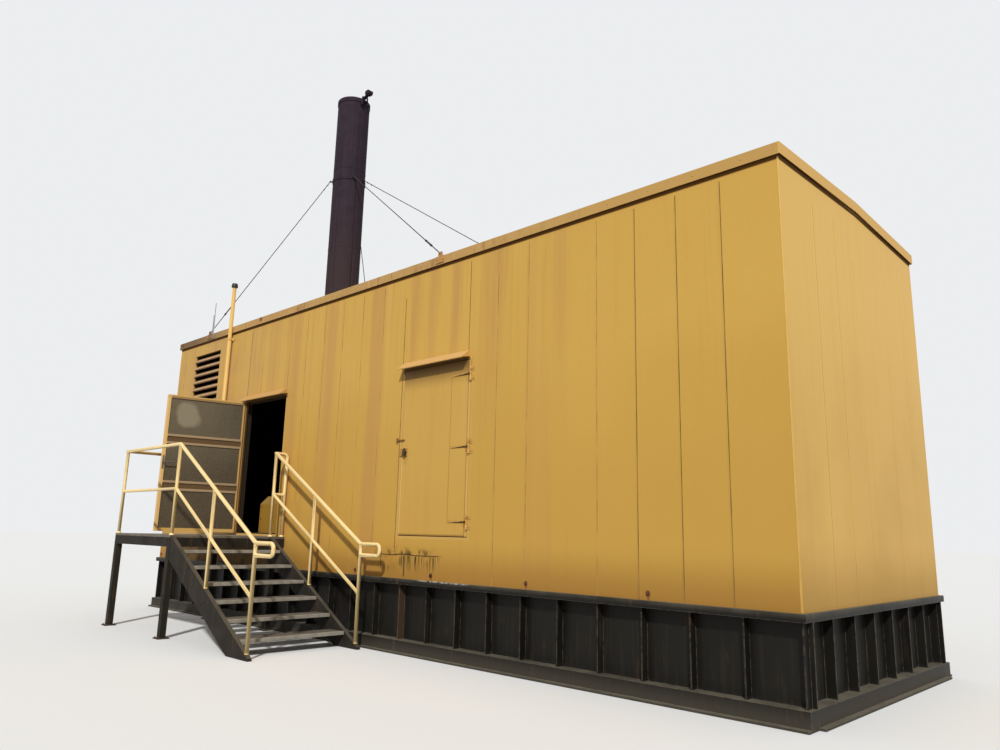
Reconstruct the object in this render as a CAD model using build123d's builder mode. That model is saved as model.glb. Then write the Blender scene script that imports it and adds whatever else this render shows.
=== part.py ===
from build123d import *
from math import cos, pi, radians, sin
import os

os.makedirs("parts", exist_ok=True)

# Sizes are in millimetres. The origin is the middle of the base's underside, X runs along the housing,
# the doors are on the -Y side and Z is up.

# Housing
housing_length = 11760
housing_width = 3630
base_height = 850
eave_height = 4810
ridge_rise = 60
wall_thickness = 100
roof_edge = 60
trim_height = 111
trim_thickness = 28
trim_sheet = 4

# Base rails and floor
web_thickness = 12
rail_lip = 40
rail_top = 65
rail_foot = 150
sole_lip = 90
sole_thickness = 20
stiffener_bays = 24
floor_level = 1290
floor_thickness = 50

# Doors
clear_width = 1220
clear_top = 3408
door_frame_face = 30
door_gap = 8
leaf_thickness = 50
stop_width = 18
stop_gap = 6
entry_inset = 2710
entry_open_angle = 102
access_inset = 4985
access_sill = 1322

# Hoods over the doors
hood_overhang = 45
hood_drop = 107
hood_depth = 118
hood_sheet = 6
hood_clearance = 12
cheek_sheet = 4
cheek_rise = 30

# Louvre
louvre_inset = 640
louvre_width = 970
louvre_drop = 330
louvre_height = 1200
louvre_rim = 6
blade_count = 9
blade_lip = 50
blade_run = 72
blade_rise = 53
blade_sheet = 6
blade_setback = 2

# Exhaust stack, its rain cap and its stays
stack_inset = 2507
stack_radius = 305
stack_wall = 8
stack_height = 4865
curb_radius = 390
curb_height = 190
ring_clearance = 0.3
collar_drop = 1710
collar_height = 70
collar_thickness = 10
stay_radius = 5
stay_left_inset = 1180
stay_right_reach = 4883

# Vent pipe
vent_inset = 2030
vent_radius = 32
vent_rise = 650
vent_above_eave = 705
vent_standoff = 66
vent_sides = 16

# Landing, stair and guard rails
landing_left_margin = 360
landing_right_margin = 260
landing_depth = 1675
deck_thickness = 30
landing_beam = 120
landing_beam_width = 60
leg_size = 80
stair_going = 324
stair_risers = 7
stringer_depth = 300
stringer_width = 50
tread_plate = 8
tread_lip = 40
tread_gap = 20
pipe_radius = 24
post_radius = 22.5
mid_rail_radius = 20
rail_inset = 30
rail_height = 1190
mid_rail_height = 600
wall_rail_gap = 220
handrail_run = 2180
loop_reach = 380
loop_height = 134
bend_radius = 60
pipe_sides = 12
rod_sides = 8

half_length = housing_length / 2
half_width = housing_width / 2
entry_left = entry_inset - half_length
access_left = half_length - access_inset
louvre_left = louvre_inset - half_length
louvre_top = eave_height - louvre_drop
stack_x = stack_inset - half_length
stack_top = eave_height + stack_height
collar_level = stack_top - collar_drop
stay_left = stay_left_inset - half_length
stay_right = stack_x + stay_right_reach
vent_x = vent_inset - half_length
vent_bottom = base_height + vent_rise
vent_top = eave_height + vent_above_eave
landing_left = entry_left - landing_left_margin
landing_right = entry_left + clear_width + landing_right_margin
landing_outer = -half_width - landing_depth
wall_rail_y = -half_width - wall_rail_gap
stair_rise = floor_level / stair_risers
stair_slope = stair_rise / stair_going
wall_top = eave_height - roof_edge
front_face = Plane.XZ.offset(half_width)
rear_face = Plane((0, half_width, 0), x_dir=(-1, 0, 0), z_dir=(0, 1, 0))
right_face = Plane((half_length, 0, 0), x_dir=(0, 1, 0), z_dir=(1, 0, 0))
left_face = Plane((-half_length, 0, 0), x_dir=(0, -1, 0), z_dir=(-1, 0, 0))


def keep(piece, name):
    """Label a finished piece and write it."""
    piece.part.label = name
    export_step(piece.part, f"parts/{name}.step")


def bar(start, end, radius, sides=pipe_sides):
    """A bar from one point to another, its round section drawn with flats, for adding to a piece."""
    run = Vector(end) - Vector(start)
    across = Plane(start, z_dir=run.normalized())
    turns = [2 * pi * side / sides for side in range(sides)]
    corners = [across.from_local_coords((radius * cos(turn), radius * sin(turn), 0)) for turn in turns]
    return Solid.extrude(Face(Wire.make_polygon(corners)), run)


# Base: channel rails with stiffeners along the sides and ends, round a closed fuel tank.
# The stiffeners at the two ends of a rail close its section.
def base_rail(face, length, lip_at_ends, bays):
    """One channel rail, its open side outwards, with upright stiffeners."""
    run = length + 2 * lip_at_ends
    section = Plane(face.from_local_coords((-run / 2, 0, 0)), x_dir=-face.z_dir, z_dir=face.x_dir)
    web_height = base_height - rail_top - rail_foot
    with BuildPart() as rail:
        with BuildSketch(section):
            with Locations(((wall_thickness - rail_lip) / 2, base_height - rail_top / 2)):
                Rectangle(wall_thickness + rail_lip, rail_top)
            with Locations((wall_thickness - web_thickness / 2, rail_foot + web_height / 2)):
                Rectangle(web_thickness, web_height)
            with Locations(((wall_thickness - rail_lip) / 2, rail_foot / 2)):
                Rectangle(wall_thickness + rail_lip, rail_foot)
            with Locations(((wall_thickness - sole_lip) / 2, sole_thickness / 2)):
                Rectangle(wall_thickness + sole_lip, sole_thickness)
        extrude(amount=run)
        with BuildSketch(face):
            with Locations((0, rail_foot + web_height / 2)):
                with GridLocations((length - web_thickness) / bays, 0, bays + 1, 1):
                    Rectangle(web_thickness, web_height)
        extrude(amount=-(wall_thickness - web_thickness))
    return rail


base_rail_front = base_rail(front_face, housing_length, rail_lip, stiffener_bays)
keep(base_rail_front, "base_rail_front")
base_rail_rear = base_rail(rear_face, housing_length, rail_lip, stiffener_bays)
keep(base_rail_rear, "base_rail_rear")
end_rail_length = housing_width - 2 * wall_thickness
end_bays = round(stiffener_bays * end_rail_length / housing_length)
base_rail_left = base_rail(left_face, end_rail_length, 0, end_bays)
keep(base_rail_left, "base_rail_left")
base_rail_right = base_rail(right_face, end_rail_length, 0, end_bays)
keep(base_rail_right, "base_rail_right")

inner_length = housing_length - 2 * wall_thickness
inner_width = housing_width - 2 * wall_thickness
with BuildPart() as fuel_tank:
    with BuildSketch(Plane.XY):
        Rectangle(inner_length, inner_width)
    extrude(amount=floor_level - floor_thickness)
keep(fuel_tank, "fuel_tank")

with BuildPart() as floor:
    with BuildSketch(Plane.XY.offset(floor_level - floor_thickness)):
        Rectangle(inner_length, inner_width)
    extrude(amount=floor_thickness)
keep(floor, "floor")


# Walls: flat panels standing on the base rails, split beside and over each doorway.
def wall_panel(face, left, right, bottom, top):
    """A flat wall panel, its outer face on the given plane."""
    with BuildPart() as panel:
        with BuildSketch(face):
            with Locations(((left + right) / 2, (bottom + top) / 2)):
                Rectangle(right - left, top - bottom)
        extrude(amount=-wall_thickness)
    return panel


entry_hole_left = entry_left - door_frame_face
entry_hole_right = entry_left + clear_width + door_frame_face
access_hole_left = access_left - door_frame_face
access_hole_right = access_left + clear_width + door_frame_face
hole_top = clear_top + door_frame_face

with BuildPart() as front_wall_left:
    with BuildSketch(front_face):
        with Locations(((-half_length + entry_hole_left) / 2, (base_height + wall_top) / 2)):
            Rectangle(entry_hole_left + half_length, wall_top - base_height)
        with Locations((louvre_left + louvre_width / 2, louvre_top - louvre_height / 2)):
            Rectangle(louvre_width, louvre_height, mode=Mode.SUBTRACT)
    extrude(amount=-wall_thickness)
keep(front_wall_left, "front_wall_left")

front_panels = {
    "front_wall_over_entry": (entry_hole_left, entry_hole_right, hole_top, wall_top),
    "front_wall_under_entry": (entry_hole_left, entry_hole_right, base_height, floor_level),
    "front_wall_middle": (entry_hole_right, access_hole_left, base_height, wall_top),
    "front_wall_over_access": (access_hole_left, access_hole_right, hole_top, wall_top),
    "front_wall_under_access": (access_hole_left, access_hole_right, base_height, access_sill),
    "front_wall_right": (access_hole_right, half_length, base_height, wall_top),
}
for panel_name, edges in front_panels.items():
    keep(wall_panel(front_face, *edges), panel_name)

keep(wall_panel(rear_face, -half_length, half_length, base_height, wall_top), "rear_wall")
keep(wall_panel(left_face, -inner_width / 2, inner_width / 2, base_height, wall_top), "left_end_wall")
keep(wall_panel(right_face, -inner_width / 2, inner_width / 2, base_height, wall_top), "right_end_wall")


# Roof: a low gable on the wall tops, with a folded sheet trim all round its edge, open underneath.
with BuildPart() as roof:
    with BuildSketch(Plane.YZ.offset(-half_length)):
        with BuildLine():
            Polyline(
                (-half_width, wall_top),
                (half_width, wall_top),
                (half_width, eave_height),
                (0, eave_height + ridge_rise),
                (-half_width, eave_height),
                close=True,
            )
        make_face()
    extrude(amount=housing_length)
keep(roof, "roof")


def side_trim(face):
    """The trim along one eave, long enough to cover the ends of the gable trims."""
    with BuildPart() as trim:
        with BuildSketch(face):
            with Locations((0, eave_height - trim_height / 2)):
                Rectangle(housing_length + 2 * trim_thickness, trim_height)
        extrude(amount=trim_thickness)
        with BuildSketch(face):
            with Locations((0, eave_height - trim_height / 2 - trim_sheet)):
                Rectangle(housing_length + 2 * (trim_thickness - trim_sheet), trim_height)
        extrude(amount=trim_thickness - trim_sheet, mode=Mode.SUBTRACT)
    return trim


def gable_trim(face):
    """The trim on one end, with the gable's slight kink at the ridge."""
    with BuildPart() as trim:
        for drop, depth, mode in (
            (0, trim_thickness, Mode.ADD),
            (trim_sheet, trim_thickness - trim_sheet, Mode.SUBTRACT),
        ):
            high = eave_height - drop
            low = high - trim_height
            with BuildSketch(face):
                with BuildLine():
                    Polyline(
                        (-half_width, low),
                        (0, low + ridge_rise),
                        (half_width, low),
                        (half_width, high),
                        (0, high + ridge_rise),
                        (-half_width, high),
                        close=True,
                    )
                make_face()
            extrude(amount=depth, mode=mode)
    return trim


keep(side_trim(front_face), "roof_trim_front")
keep(side_trim(rear_face), "roof_trim_rear")
keep(gable_trim(left_face), "roof_trim_left")
keep(gable_trim(right_face), "roof_trim_right")

# Louvre: a thin rim set in the wall, and folded rain blades with an upright front lip.
louvre_x = louvre_left + louvre_width / 2
louvre_z = louvre_top - louvre_height / 2
with BuildPart() as louvre_frame:
    with BuildSketch(front_face):
        with Locations((louvre_x, louvre_z)):
            Rectangle(louvre_width, louvre_height)
            Rectangle(louvre_width - 2 * louvre_rim, louvre_height - 2 * louvre_rim, mode=Mode.SUBTRACT)
    extrude(amount=-wall_thickness)
keep(louvre_frame, "louvre_frame")

blade_space = louvre_height - 2 * louvre_rim
blade_pitch = blade_space / blade_count
blade_side = Plane.YZ.offset(louvre_left + louvre_rim)
blade_front = -half_width + blade_setback
with BuildPart() as louvre_blades:
    with BuildSketch(blade_side):
        for row in range(blade_count):
            foot = louvre_z - blade_space / 2 + row * blade_pitch
            with BuildLine():
                Polyline(
                    (blade_front, foot),
                    (blade_front, foot + blade_lip),
                    (blade_front + blade_run, foot + blade_lip + blade_rise),
                    (blade_front + blade_run, foot + blade_lip + blade_rise - blade_sheet),
                    (blade_front + blade_sheet, foot + blade_lip - blade_sheet),
                    (blade_front + blade_sheet, foot),
                    close=True,
                )
            make_face()
    extrude(amount=louvre_width - 2 * louvre_rim)
keep(louvre_blades, "louvre_blades")


# Door frames: a flat face flush with the wall and a stop behind the leaf.
def door_frame(left, sill):
    """A four-sided frame lining one doorway."""
    hole_height = hole_top - sill
    centre = (left + clear_width / 2, sill + hole_height / 2)
    clear_height = hole_height - 2 * door_frame_face
    stop_start = leaf_thickness + stop_gap
    with BuildPart() as frame:
        with BuildSketch(front_face):
            with Locations(centre):
                Rectangle(clear_width + 2 * door_frame_face, hole_height)
                Rectangle(clear_width, clear_height, mode=Mode.SUBTRACT)
        extrude(amount=-wall_thickness)
        with BuildSketch(front_face.offset(-stop_start)):
            with Locations(centre):
                Rectangle(clear_width, clear_height)
                Rectangle(clear_width - 2 * stop_width, clear_height - 2 * stop_width, mode=Mode.SUBTRACT)
        extrude(amount=-(wall_thickness - stop_start))
    return frame


# Hinges: each has fixed knuckles above and below one that turns with the leaf, on a through pin.
knuckle_radius = 11
pin_radius = 6
pin_clearance = 0.5
knuckle_length = 57
knuckle_gap = 1
hinge_inset = 165
hinge_standoff = 12
hinge_plate = 5
hinge_plate_width = 60
strap_height = 26
leaf_width = clear_width - 2 * door_gap
leaf_top = clear_top - door_gap
hinge_y = -half_width - hinge_standoff


def hinge_levels(leaf_bottom):
    """Near the foot, at the middle and near the top of a leaf."""
    return (leaf_bottom + hinge_inset, (leaf_bottom + leaf_top) / 2, leaf_top - hinge_inset)


def fixed_hinges(axis_x, leaf_bottom, plate_side):
    """The outer knuckles of each hinge, the pin through them and the plate on the wall."""
    with BuildPart() as hinges:
        for level in hinge_levels(leaf_bottom):
            bottom = level - knuckle_length * 1.5
            add(bar((axis_x, hinge_y, bottom), (axis_x, hinge_y, bottom + 3 * knuckle_length), pin_radius))
            for start in (bottom, bottom + 2 * knuckle_length):
                add(bar((axis_x, hinge_y, start), (axis_x, hinge_y, start + knuckle_length), knuckle_radius))
                with BuildSketch(front_face):
                    with Locations((axis_x + plate_side * hinge_plate_width / 2, start + knuckle_length / 2)):
                        Rectangle(hinge_plate_width, knuckle_length)
                extrude(amount=hinge_plate)
    return hinges


def door_plane(axis_x, open_angle):
    """A door's own plane: x along the closed leaf, y up and z outwards, turned open about its hinge."""
    turn = radians(open_angle)
    return Plane(
        (axis_x, -half_width - hinge_standoff, 0),
        x_dir=(cos(turn), -sin(turn), 0),
        z_dir=(-sin(turn), -cos(turn), 0),
    )


def turning_hinges(plane, leaf_bottom, reach):
    """The middle knuckle of each hinge with the strap that carries it on the leaf."""
    length = knuckle_length - 2 * knuckle_gap
    with BuildPart() as hinges:
        for level in hinge_levels(leaf_bottom):
            with BuildSketch(Plane(plane.from_local_coords((0, level - length / 2, 0)))):
                RegularPolygon(knuckle_radius, pipe_sides)
                RegularPolygon(pin_radius + pin_clearance, pipe_sides, major_radius=False, mode=Mode.SUBTRACT)
            extrude(amount=length)
            with BuildSketch(plane.offset(-hinge_standoff)):
                with Locations((reach / 2, level)):
                    Rectangle(abs(reach), strap_height)
            extrude(amount=hinge_plate)
    return hinges


# Entry door: a pan of steel skin, edge and cross rails, lined on its inner side with grey sheet.
entry_frame = door_frame(entry_left, floor_level)
keep(entry_frame, "entry_frame")

entry_axis = entry_left + door_gap / 2
entry_bottom = floor_level + door_frame_face + door_gap
entry_hinges = fixed_hinges(entry_axis, entry_bottom, -1)
keep(entry_hinges, "entry_hinges")

entry_plane = door_plane(entry_axis, entry_open_angle)
leaf_start = door_gap / 2
entry_height = leaf_top - entry_bottom
leaf_stile = 50
cross_rail = 150
cross_groove = 80
groove_depth = 12.5
skin_thickness = 6
liner_thickness = 30
liner_gap = 1
liner_panels = 3
panel_height = (entry_height - 2 * leaf_stile - (liner_panels - 1) * cross_rail) / liner_panels
panel_width = leaf_width - 2 * leaf_stile
leaf_middle = leaf_start + leaf_width / 2
leaf_back = entry_plane.offset(-hinge_standoff - leaf_thickness)
panel_pitch = panel_height + cross_rail
first_panel = entry_bottom + leaf_stile + panel_height / 2
panel_levels = [first_panel + row * panel_pitch for row in range(liner_panels)]
groove_levels = [level + panel_pitch / 2 for level in panel_levels[:-1]]

with BuildPart() as entry_door:
    with BuildSketch(leaf_back):
        with Locations((leaf_middle, entry_bottom + entry_height / 2)):
            Rectangle(leaf_width, entry_height)
    extrude(amount=leaf_thickness)
    with BuildSketch(leaf_back):
        with Locations(*[(leaf_middle, level) for level in panel_levels]):
            Rectangle(panel_width, panel_height)
    extrude(amount=leaf_thickness - skin_thickness, mode=Mode.SUBTRACT)
    with BuildSketch(leaf_back):
        with Locations(*[(leaf_middle, level) for level in groove_levels]):
            Rectangle(panel_width, cross_groove)
    extrude(amount=groove_depth, mode=Mode.SUBTRACT)
keep(entry_door, "entry_door")
entry_strap_reach = 108
entry_straps = turning_hinges(entry_plane, entry_bottom, entry_strap_reach)
keep(entry_straps, "entry_straps")

with BuildPart() as entry_door_lining:
    with BuildSketch(entry_plane.offset(-hinge_standoff - skin_thickness)):
        with Locations(*[(leaf_middle, level) for level in panel_levels]):
            Rectangle(panel_width - 2 * liner_gap, panel_height - 2 * liner_gap)
    extrude(amount=-liner_thickness)
keep(entry_door_lining, "entry_door_lining")

handle_level = floor_level + 1070
handle_x = leaf_start + leaf_width - leaf_stile / 2
handle_plate = 8
handle_plate_height = 200
handle_reach = 55
lever_radius = 9
lever_length = 150
with BuildPart() as entry_door_handle:
    for face_offset, out in ((-hinge_standoff - leaf_thickness, -1), (-hinge_standoff, 1)):
        with BuildSketch(entry_plane.offset(face_offset)):
            with Locations((handle_x, handle_level)):
                Rectangle(leaf_stile / 2, handle_plate_height)
        extrude(amount=out * handle_plate)
        with BuildSketch(entry_plane.offset(face_offset)):
            with Locations((handle_x, handle_level)):
                RegularPolygon(lever_radius, rod_sides)
        extrude(amount=out * (handle_reach + lever_radius))
        lever_plane = entry_plane.offset(face_offset + out * handle_reach)
        lever_start = lever_plane.from_local_coords((handle_x, handle_level, 0))
        lever_end = lever_plane.from_local_coords((handle_x - lever_length, handle_level, 0))
        add(bar(lever_start, lever_end, lever_radius, rod_sides))
keep(entry_door_handle, "entry_door_handle")

# Access door: a flush steel leaf on three strap hinges, with a hasp and padlock at its free edge.
access_frame = door_frame(access_left, access_sill)
keep(access_frame, "access_frame")

access_axis = access_left + clear_width - door_gap / 2
access_bottom = access_sill + door_frame_face + door_gap
access_height = leaf_top - access_bottom
pin_rise = 110
with BuildPart() as access_hinges:
    add(fixed_hinges(access_axis, access_bottom, 1).part)
    pin_top = leaf_top - hinge_inset + knuckle_length * 1.5
    add(bar((access_axis, hinge_y, pin_top), (access_axis, hinge_y, pin_top + pin_rise), pin_radius))
keep(access_hinges, "access_hinges")

access_middle = access_left + clear_width / 2
with BuildPart() as access_door:
    with BuildSketch(front_face):
        with Locations((access_middle, access_bottom + access_height / 2)):
            Rectangle(leaf_width, access_height)
    extrude(amount=-leaf_thickness)
keep(access_door, "access_door")

strap_reach = 330
access_straps = turning_hinges(door_plane(access_axis, 0), access_bottom, -strap_reach)
keep(access_straps, "access_straps")

# The hasp plate and the latch handle above it stand off the leaf on small blocks, clear of the frame.
hasp_level = access_sill + 1048
hasp_width = 142
hasp_height = 95
hasp_overlap = 28
hasp_block = 40
block_thickness = 6
block_margin = 8
handle_rise = 155
handle_thickness = 12
handle_overlap = 95
handle_knob = 60
leaf_edge = access_left + door_gap
hasp_left = access_left - hasp_overlap
handle_left = access_left - handle_overlap
block_right = leaf_edge + block_margin + hasp_block
hasp_blocks = ((hasp_level, hasp_block), (hasp_level + handle_rise, handle_thickness))
with BuildPart() as access_hasp:
    for level, height in hasp_blocks:
        with BuildSketch(front_face):
            with Locations((block_right - hasp_block / 2, level)):
                Rectangle(hasp_block, height)
        extrude(amount=block_thickness)
    with BuildSketch(front_face.offset(block_thickness)):
        with Locations((hasp_left + hasp_width / 2, hasp_level)):
            Rectangle(hasp_width, hasp_height)
    extrude(amount=hinge_plate)
    with BuildSketch(front_face.offset(block_thickness)):
        with Locations(((handle_left + block_right) / 2, hasp_level + handle_rise)):
            Rectangle(block_right - handle_left, handle_thickness)
        with Locations((handle_left + handle_thickness, hasp_level + handle_rise)):
            Rectangle(2 * handle_thickness, handle_knob)
    extrude(amount=handle_thickness)
keep(access_hasp, "access_hasp")

lock_width = 56
lock_height = 58
lock_thickness = 24
lock_chamfer = 8
lock_inset = 8
lock_x = hasp_left + hasp_width - lock_width / 2 - lock_inset
shackle_half = 15
shackle_rise = 30
shackle_size = 8
shackle_bend = 11
lock_front = front_face.offset(block_thickness + hinge_plate)
lock_middle = -half_width - block_thickness - hinge_plate - lock_thickness / 2
with BuildPart() as padlock:
    with BuildSketch(lock_front) as lock_body:
        with Locations((lock_x, hasp_level - lock_height / 4)):
            Rectangle(lock_width, lock_height)
        chamfer(lock_body.vertices(), lock_chamfer)
    extrude(amount=lock_thickness)
    shackle_foot = hasp_level
    shackle_top = hasp_level + lock_height / 4 + shackle_rise
    with BuildLine():
        FilletPolyline(
            (lock_x - shackle_half, lock_middle, shackle_foot),
            (lock_x - shackle_half, lock_middle, shackle_top),
            (lock_x + shackle_half, lock_middle, shackle_top),
            (lock_x + shackle_half, lock_middle, shackle_foot),
            radius=shackle_bend,
        )
    with BuildSketch(Plane((lock_x - shackle_half, lock_middle, shackle_foot))):
        Rectangle(shackle_size, shackle_size)
    sweep()
keep(padlock, "padlock")


# Hoods: a folded drip sheet over each door, fixed by a flange on the wall.
def drip_hood(left, right):
    """One sloping hood with a cheek at each end, its front lip clear above the leaf."""
    front_low = leaf_top + hood_clearance
    with BuildPart() as hood:
        with BuildSketch(Plane.YZ.offset(left)):
            with BuildLine():
                Polyline(
                    (-half_width, front_low + hood_drop),
                    (-half_width - hood_sheet, front_low + hood_drop - hood_sheet / 2),
                    (-half_width - hood_depth, front_low + hood_sheet * 2),
                    (-half_width - hood_depth, front_low),
                    (-half_width - hood_depth + hood_sheet, front_low),
                    (-half_width - hood_depth + hood_sheet, front_low + hood_sheet * 1.5),
                    (-half_width, front_low + hood_drop - hood_sheet * 2),
                    close=True,
                )
            make_face()
        extrude(amount=right - left)
        for start in (left, right - cheek_sheet):
            with BuildSketch(Plane.YZ.offset(start)):
                with BuildLine():
                    Polyline(
                        (-half_width, front_low + hood_drop - hood_sheet),
                        (-half_width - hood_depth + hood_sheet, front_low + hood_sheet),
                        (-half_width, front_low + cheek_rise),
                        close=True,
                    )
                make_face()
            extrude(amount=cheek_sheet)
    return hood


entry_hood = drip_hood(entry_left - hood_overhang * 2, entry_left + clear_width)
keep(entry_hood, "entry_hood")
access_hood = drip_hood(access_left - hood_overhang / 2, access_left + clear_width - hood_overhang)
keep(access_hood, "access_hood")

# Exhaust stack: a rolled steel tube standing on the roof ridge inside a low curb.
with BuildPart() as stack_curb:
    with BuildSketch(Plane.XY.offset(eave_height)):
        with Locations((stack_x, 0)):
            Circle(curb_radius)
            Circle(stack_radius + ring_clearance, mode=Mode.SUBTRACT)
    extrude(amount=curb_height)
    add(roof.part, mode=Mode.SUBTRACT)
keep(stack_curb, "stack_curb")

with BuildPart() as exhaust_stack:
    with BuildSketch(Plane.XY.offset(eave_height)):
        with Locations((stack_x, 0)):
            Circle(stack_radius)
            Circle(stack_radius - stack_wall, mode=Mode.SUBTRACT)
    extrude(amount=stack_height)
    add(roof.part, mode=Mode.SUBTRACT)
keep(exhaust_stack, "exhaust_stack")

# Rain cap: a clamped band with two hinge ears, and a flap balanced by a weight on its tail.
band_radius = stack_radius + 10
band_height = 70
flap_radius = stack_radius + 10
flap_thickness = 8
flap_gap = 0.3
cap_axis_reach = 52
cap_axis_rise = 14
cap_axis_x = stack_x + stack_radius + cap_axis_reach
cap_axis_z = stack_top + cap_axis_rise
ear_thickness = 10
ear_spread = 56
ear_half = 18
ear_foot_drop = 150
ear_throat_drop = 30
ear_gap = 2
ear_back = stack_x + stack_radius + ear_gap
cap_pin_radius = 8
with BuildPart() as rain_cap_band:
    with BuildSketch(Plane.XY.offset(stack_top - band_height)):
        with Locations((stack_x, 0)):
            Circle(band_radius)
            Circle(stack_radius + ring_clearance, mode=Mode.SUBTRACT)
    extrude(amount=band_height)
    for side in (-1, 1):
        with BuildSketch(Plane.XZ.offset(side * ear_spread - ear_thickness / 2)):
            with BuildLine():
                Polyline(
                    (ear_back, stack_top - ear_foot_drop),
                    (cap_axis_x + ear_half, stack_top - ear_foot_drop),
                    (cap_axis_x + ear_half, cap_axis_z + ear_half),
                    (cap_axis_x - ear_half, cap_axis_z + ear_half),
                    (cap_axis_x - ear_half, stack_top - ear_throat_drop),
                    (ear_back, stack_top - ear_throat_drop),
                    close=True,
                )
            make_face()
        extrude(amount=ear_thickness)
    pin_end = ear_spread + ear_thickness
    add(bar((cap_axis_x, -pin_end, cap_axis_z), (cap_axis_x, pin_end, cap_axis_z), cap_pin_radius))
keep(rain_cap_band, "rain_cap_band")

arm_width = 60
arm_reach = 130
arm_start = 60
arm_thickness = 10
arm_rise = 60
arm_tail = 20
boss_half = 16
boss_back = 24
boss_drop = 12
boss_rise = 22
weight_size = 110
weight_height = 80
weight_chamfer = 14
weight_inset = 10
flap_top = stack_top + flap_gap + flap_thickness
with BuildPart() as rain_cap_flap:
    with BuildSketch(Plane.XY.offset(stack_top + flap_gap)):
        with Locations((stack_x, 0)):
            Circle(flap_radius)
    extrude(amount=flap_thickness)
    with BuildSketch(Plane.XZ.offset(-arm_width / 2)):
        with BuildLine():
            Polyline(
                (stack_x - arm_start, flap_top),
                (stack_x - arm_start, flap_top + arm_thickness),
                (cap_axis_x, cap_axis_z + boss_rise),
                (cap_axis_x + arm_reach, cap_axis_z + arm_rise),
                (cap_axis_x + arm_reach, cap_axis_z + arm_rise - arm_tail),
                (cap_axis_x + boss_half, cap_axis_z - boss_drop),
                (cap_axis_x - boss_half, cap_axis_z - boss_drop),
                (cap_axis_x - boss_back, flap_top),
                close=True,
            )
        make_face()
    extrude(amount=arm_width)
    with BuildSketch(Plane.XZ.offset(-weight_size / 2)) as weight:
        with Locations((cap_axis_x + arm_reach - weight_inset, cap_axis_z + arm_rise)):
            Rectangle(weight_size, weight_height)
        chamfer(weight.vertices(), weight_chamfer)
    extrude(amount=weight_size)
    with BuildSketch(Plane((cap_axis_x, -arm_width, cap_axis_z), z_dir=(0, 1, 0))):
        RegularPolygon(cap_pin_radius + pin_clearance, pipe_sides, major_radius=False)
    extrude(amount=2 * arm_width, mode=Mode.SUBTRACT)
keep(rain_cap_flap, "rain_cap_flap")

# Stays: a collar with four lugs round the stack, an angle at each roof edge, and a taut rod between.
stay_feet = [(x, side) for x in (stay_left, stay_right) for side in (-1, 1)]
foot_width = 150
foot_height = 110
foot_plate = 10
foot_margin = 10
lug_height = 55
lug_width = 60
stay_seat = 33
collar_lug_reach = 65
collar_lug_width = 40
collar_lug_thickness = 12
stay_head_reach = 50
anchor_y = half_width + trim_thickness


def stay_ends(x, side):
    """The points at which one stay meets its collar lug and its roof angle."""
    foot = Vector(x, side * (anchor_y - foot_plate / 2), eave_height + stay_seat)
    away = Vector(x - stack_x, side * anchor_y, 0).normalized()
    head = Vector(stack_x, 0, collar_level + collar_height / 2) + away * (stack_radius + stay_head_reach)
    return head, foot


with BuildPart() as stay_collar:
    with BuildSketch(Plane.XY.offset(collar_level)):
        with Locations((stack_x, 0)):
            Circle(stack_radius + collar_thickness)
            Circle(stack_radius + ring_clearance, mode=Mode.SUBTRACT)
    extrude(amount=collar_height)
    for foot_x, side in stay_feet:
        head, foot = stay_ends(foot_x, side)
        away = Vector(foot_x - stack_x, side * anchor_y, 0).normalized()
        lug_plane = Plane((stack_x, 0, collar_level + collar_height / 2), x_dir=away, z_dir=(0, 0, 1))
        with BuildSketch(lug_plane.offset(-collar_lug_thickness / 2)):
            with Locations((stack_radius + (collar_thickness / 2 + collar_lug_reach) / 2, 0)):
                Rectangle(collar_lug_reach - collar_thickness / 2, collar_lug_width)
        extrude(amount=collar_lug_thickness)
keep(stay_collar, "stay_collar")

with BuildPart() as stay_anchors:
    for foot_x, side in stay_feet:
        edge_plane = front_face if side < 0 else rear_face
        local_x = foot_x if side < 0 else -foot_x
        with BuildSketch(edge_plane.offset(trim_thickness)):
            with Locations((local_x, eave_height - foot_height / 2 + foot_margin)):
                Rectangle(foot_width, foot_height - 2 * foot_margin)
        extrude(amount=foot_plate)
        with BuildSketch(edge_plane.offset(trim_thickness - foot_plate)):
            with Locations((local_x, eave_height + lug_height / 2)):
                Rectangle(lug_width, lug_height)
        extrude(amount=2 * foot_plate)
keep(stay_anchors, "stay_anchors")

turnbuckle_radius = 16
turnbuckle_length = 280
turnbuckle_reach = 420
clamp_radius = 11
clamp_length = 150
clamp_reach = 90
with BuildPart() as stack_stays:
    for foot_x, side in stay_feet:
        head, foot = stay_ends(foot_x, side)
        run = (foot - head).normalized()
        add(bar(head, foot, stay_radius, rod_sides))
        buckle_end = foot - run * turnbuckle_reach
        add(bar(buckle_end - run * turnbuckle_length, buckle_end, turnbuckle_radius, rod_sides))
        clamp_start = head + run * clamp_reach
        add(bar(clamp_start, clamp_start + run * clamp_length, clamp_radius, rod_sides))
    add(stay_collar.part, mode=Mode.SUBTRACT)
    add(stay_anchors.part, mode=Mode.SUBTRACT)
keep(stack_stays, "stack_stays")

# Vent pipe: it leaves the wall low down, runs up past the roof edge and ends in a weather cap.
vent_y = -half_width - vent_standoff
vent_bend = 45
with BuildPart() as vent_pipe:
    with BuildLine():
        FilletPolyline(
            (vent_x, -half_width, vent_bottom),
            (vent_x, vent_y, vent_bottom),
            (vent_x, vent_y, vent_top),
            radius=vent_bend,
        )
    with BuildSketch(Plane((vent_x, -half_width, vent_bottom), z_dir=(0, -1, 0))):
        RegularPolygon(vent_radius, vent_sides)
    sweep()
keep(vent_pipe, "vent_pipe")

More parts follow.
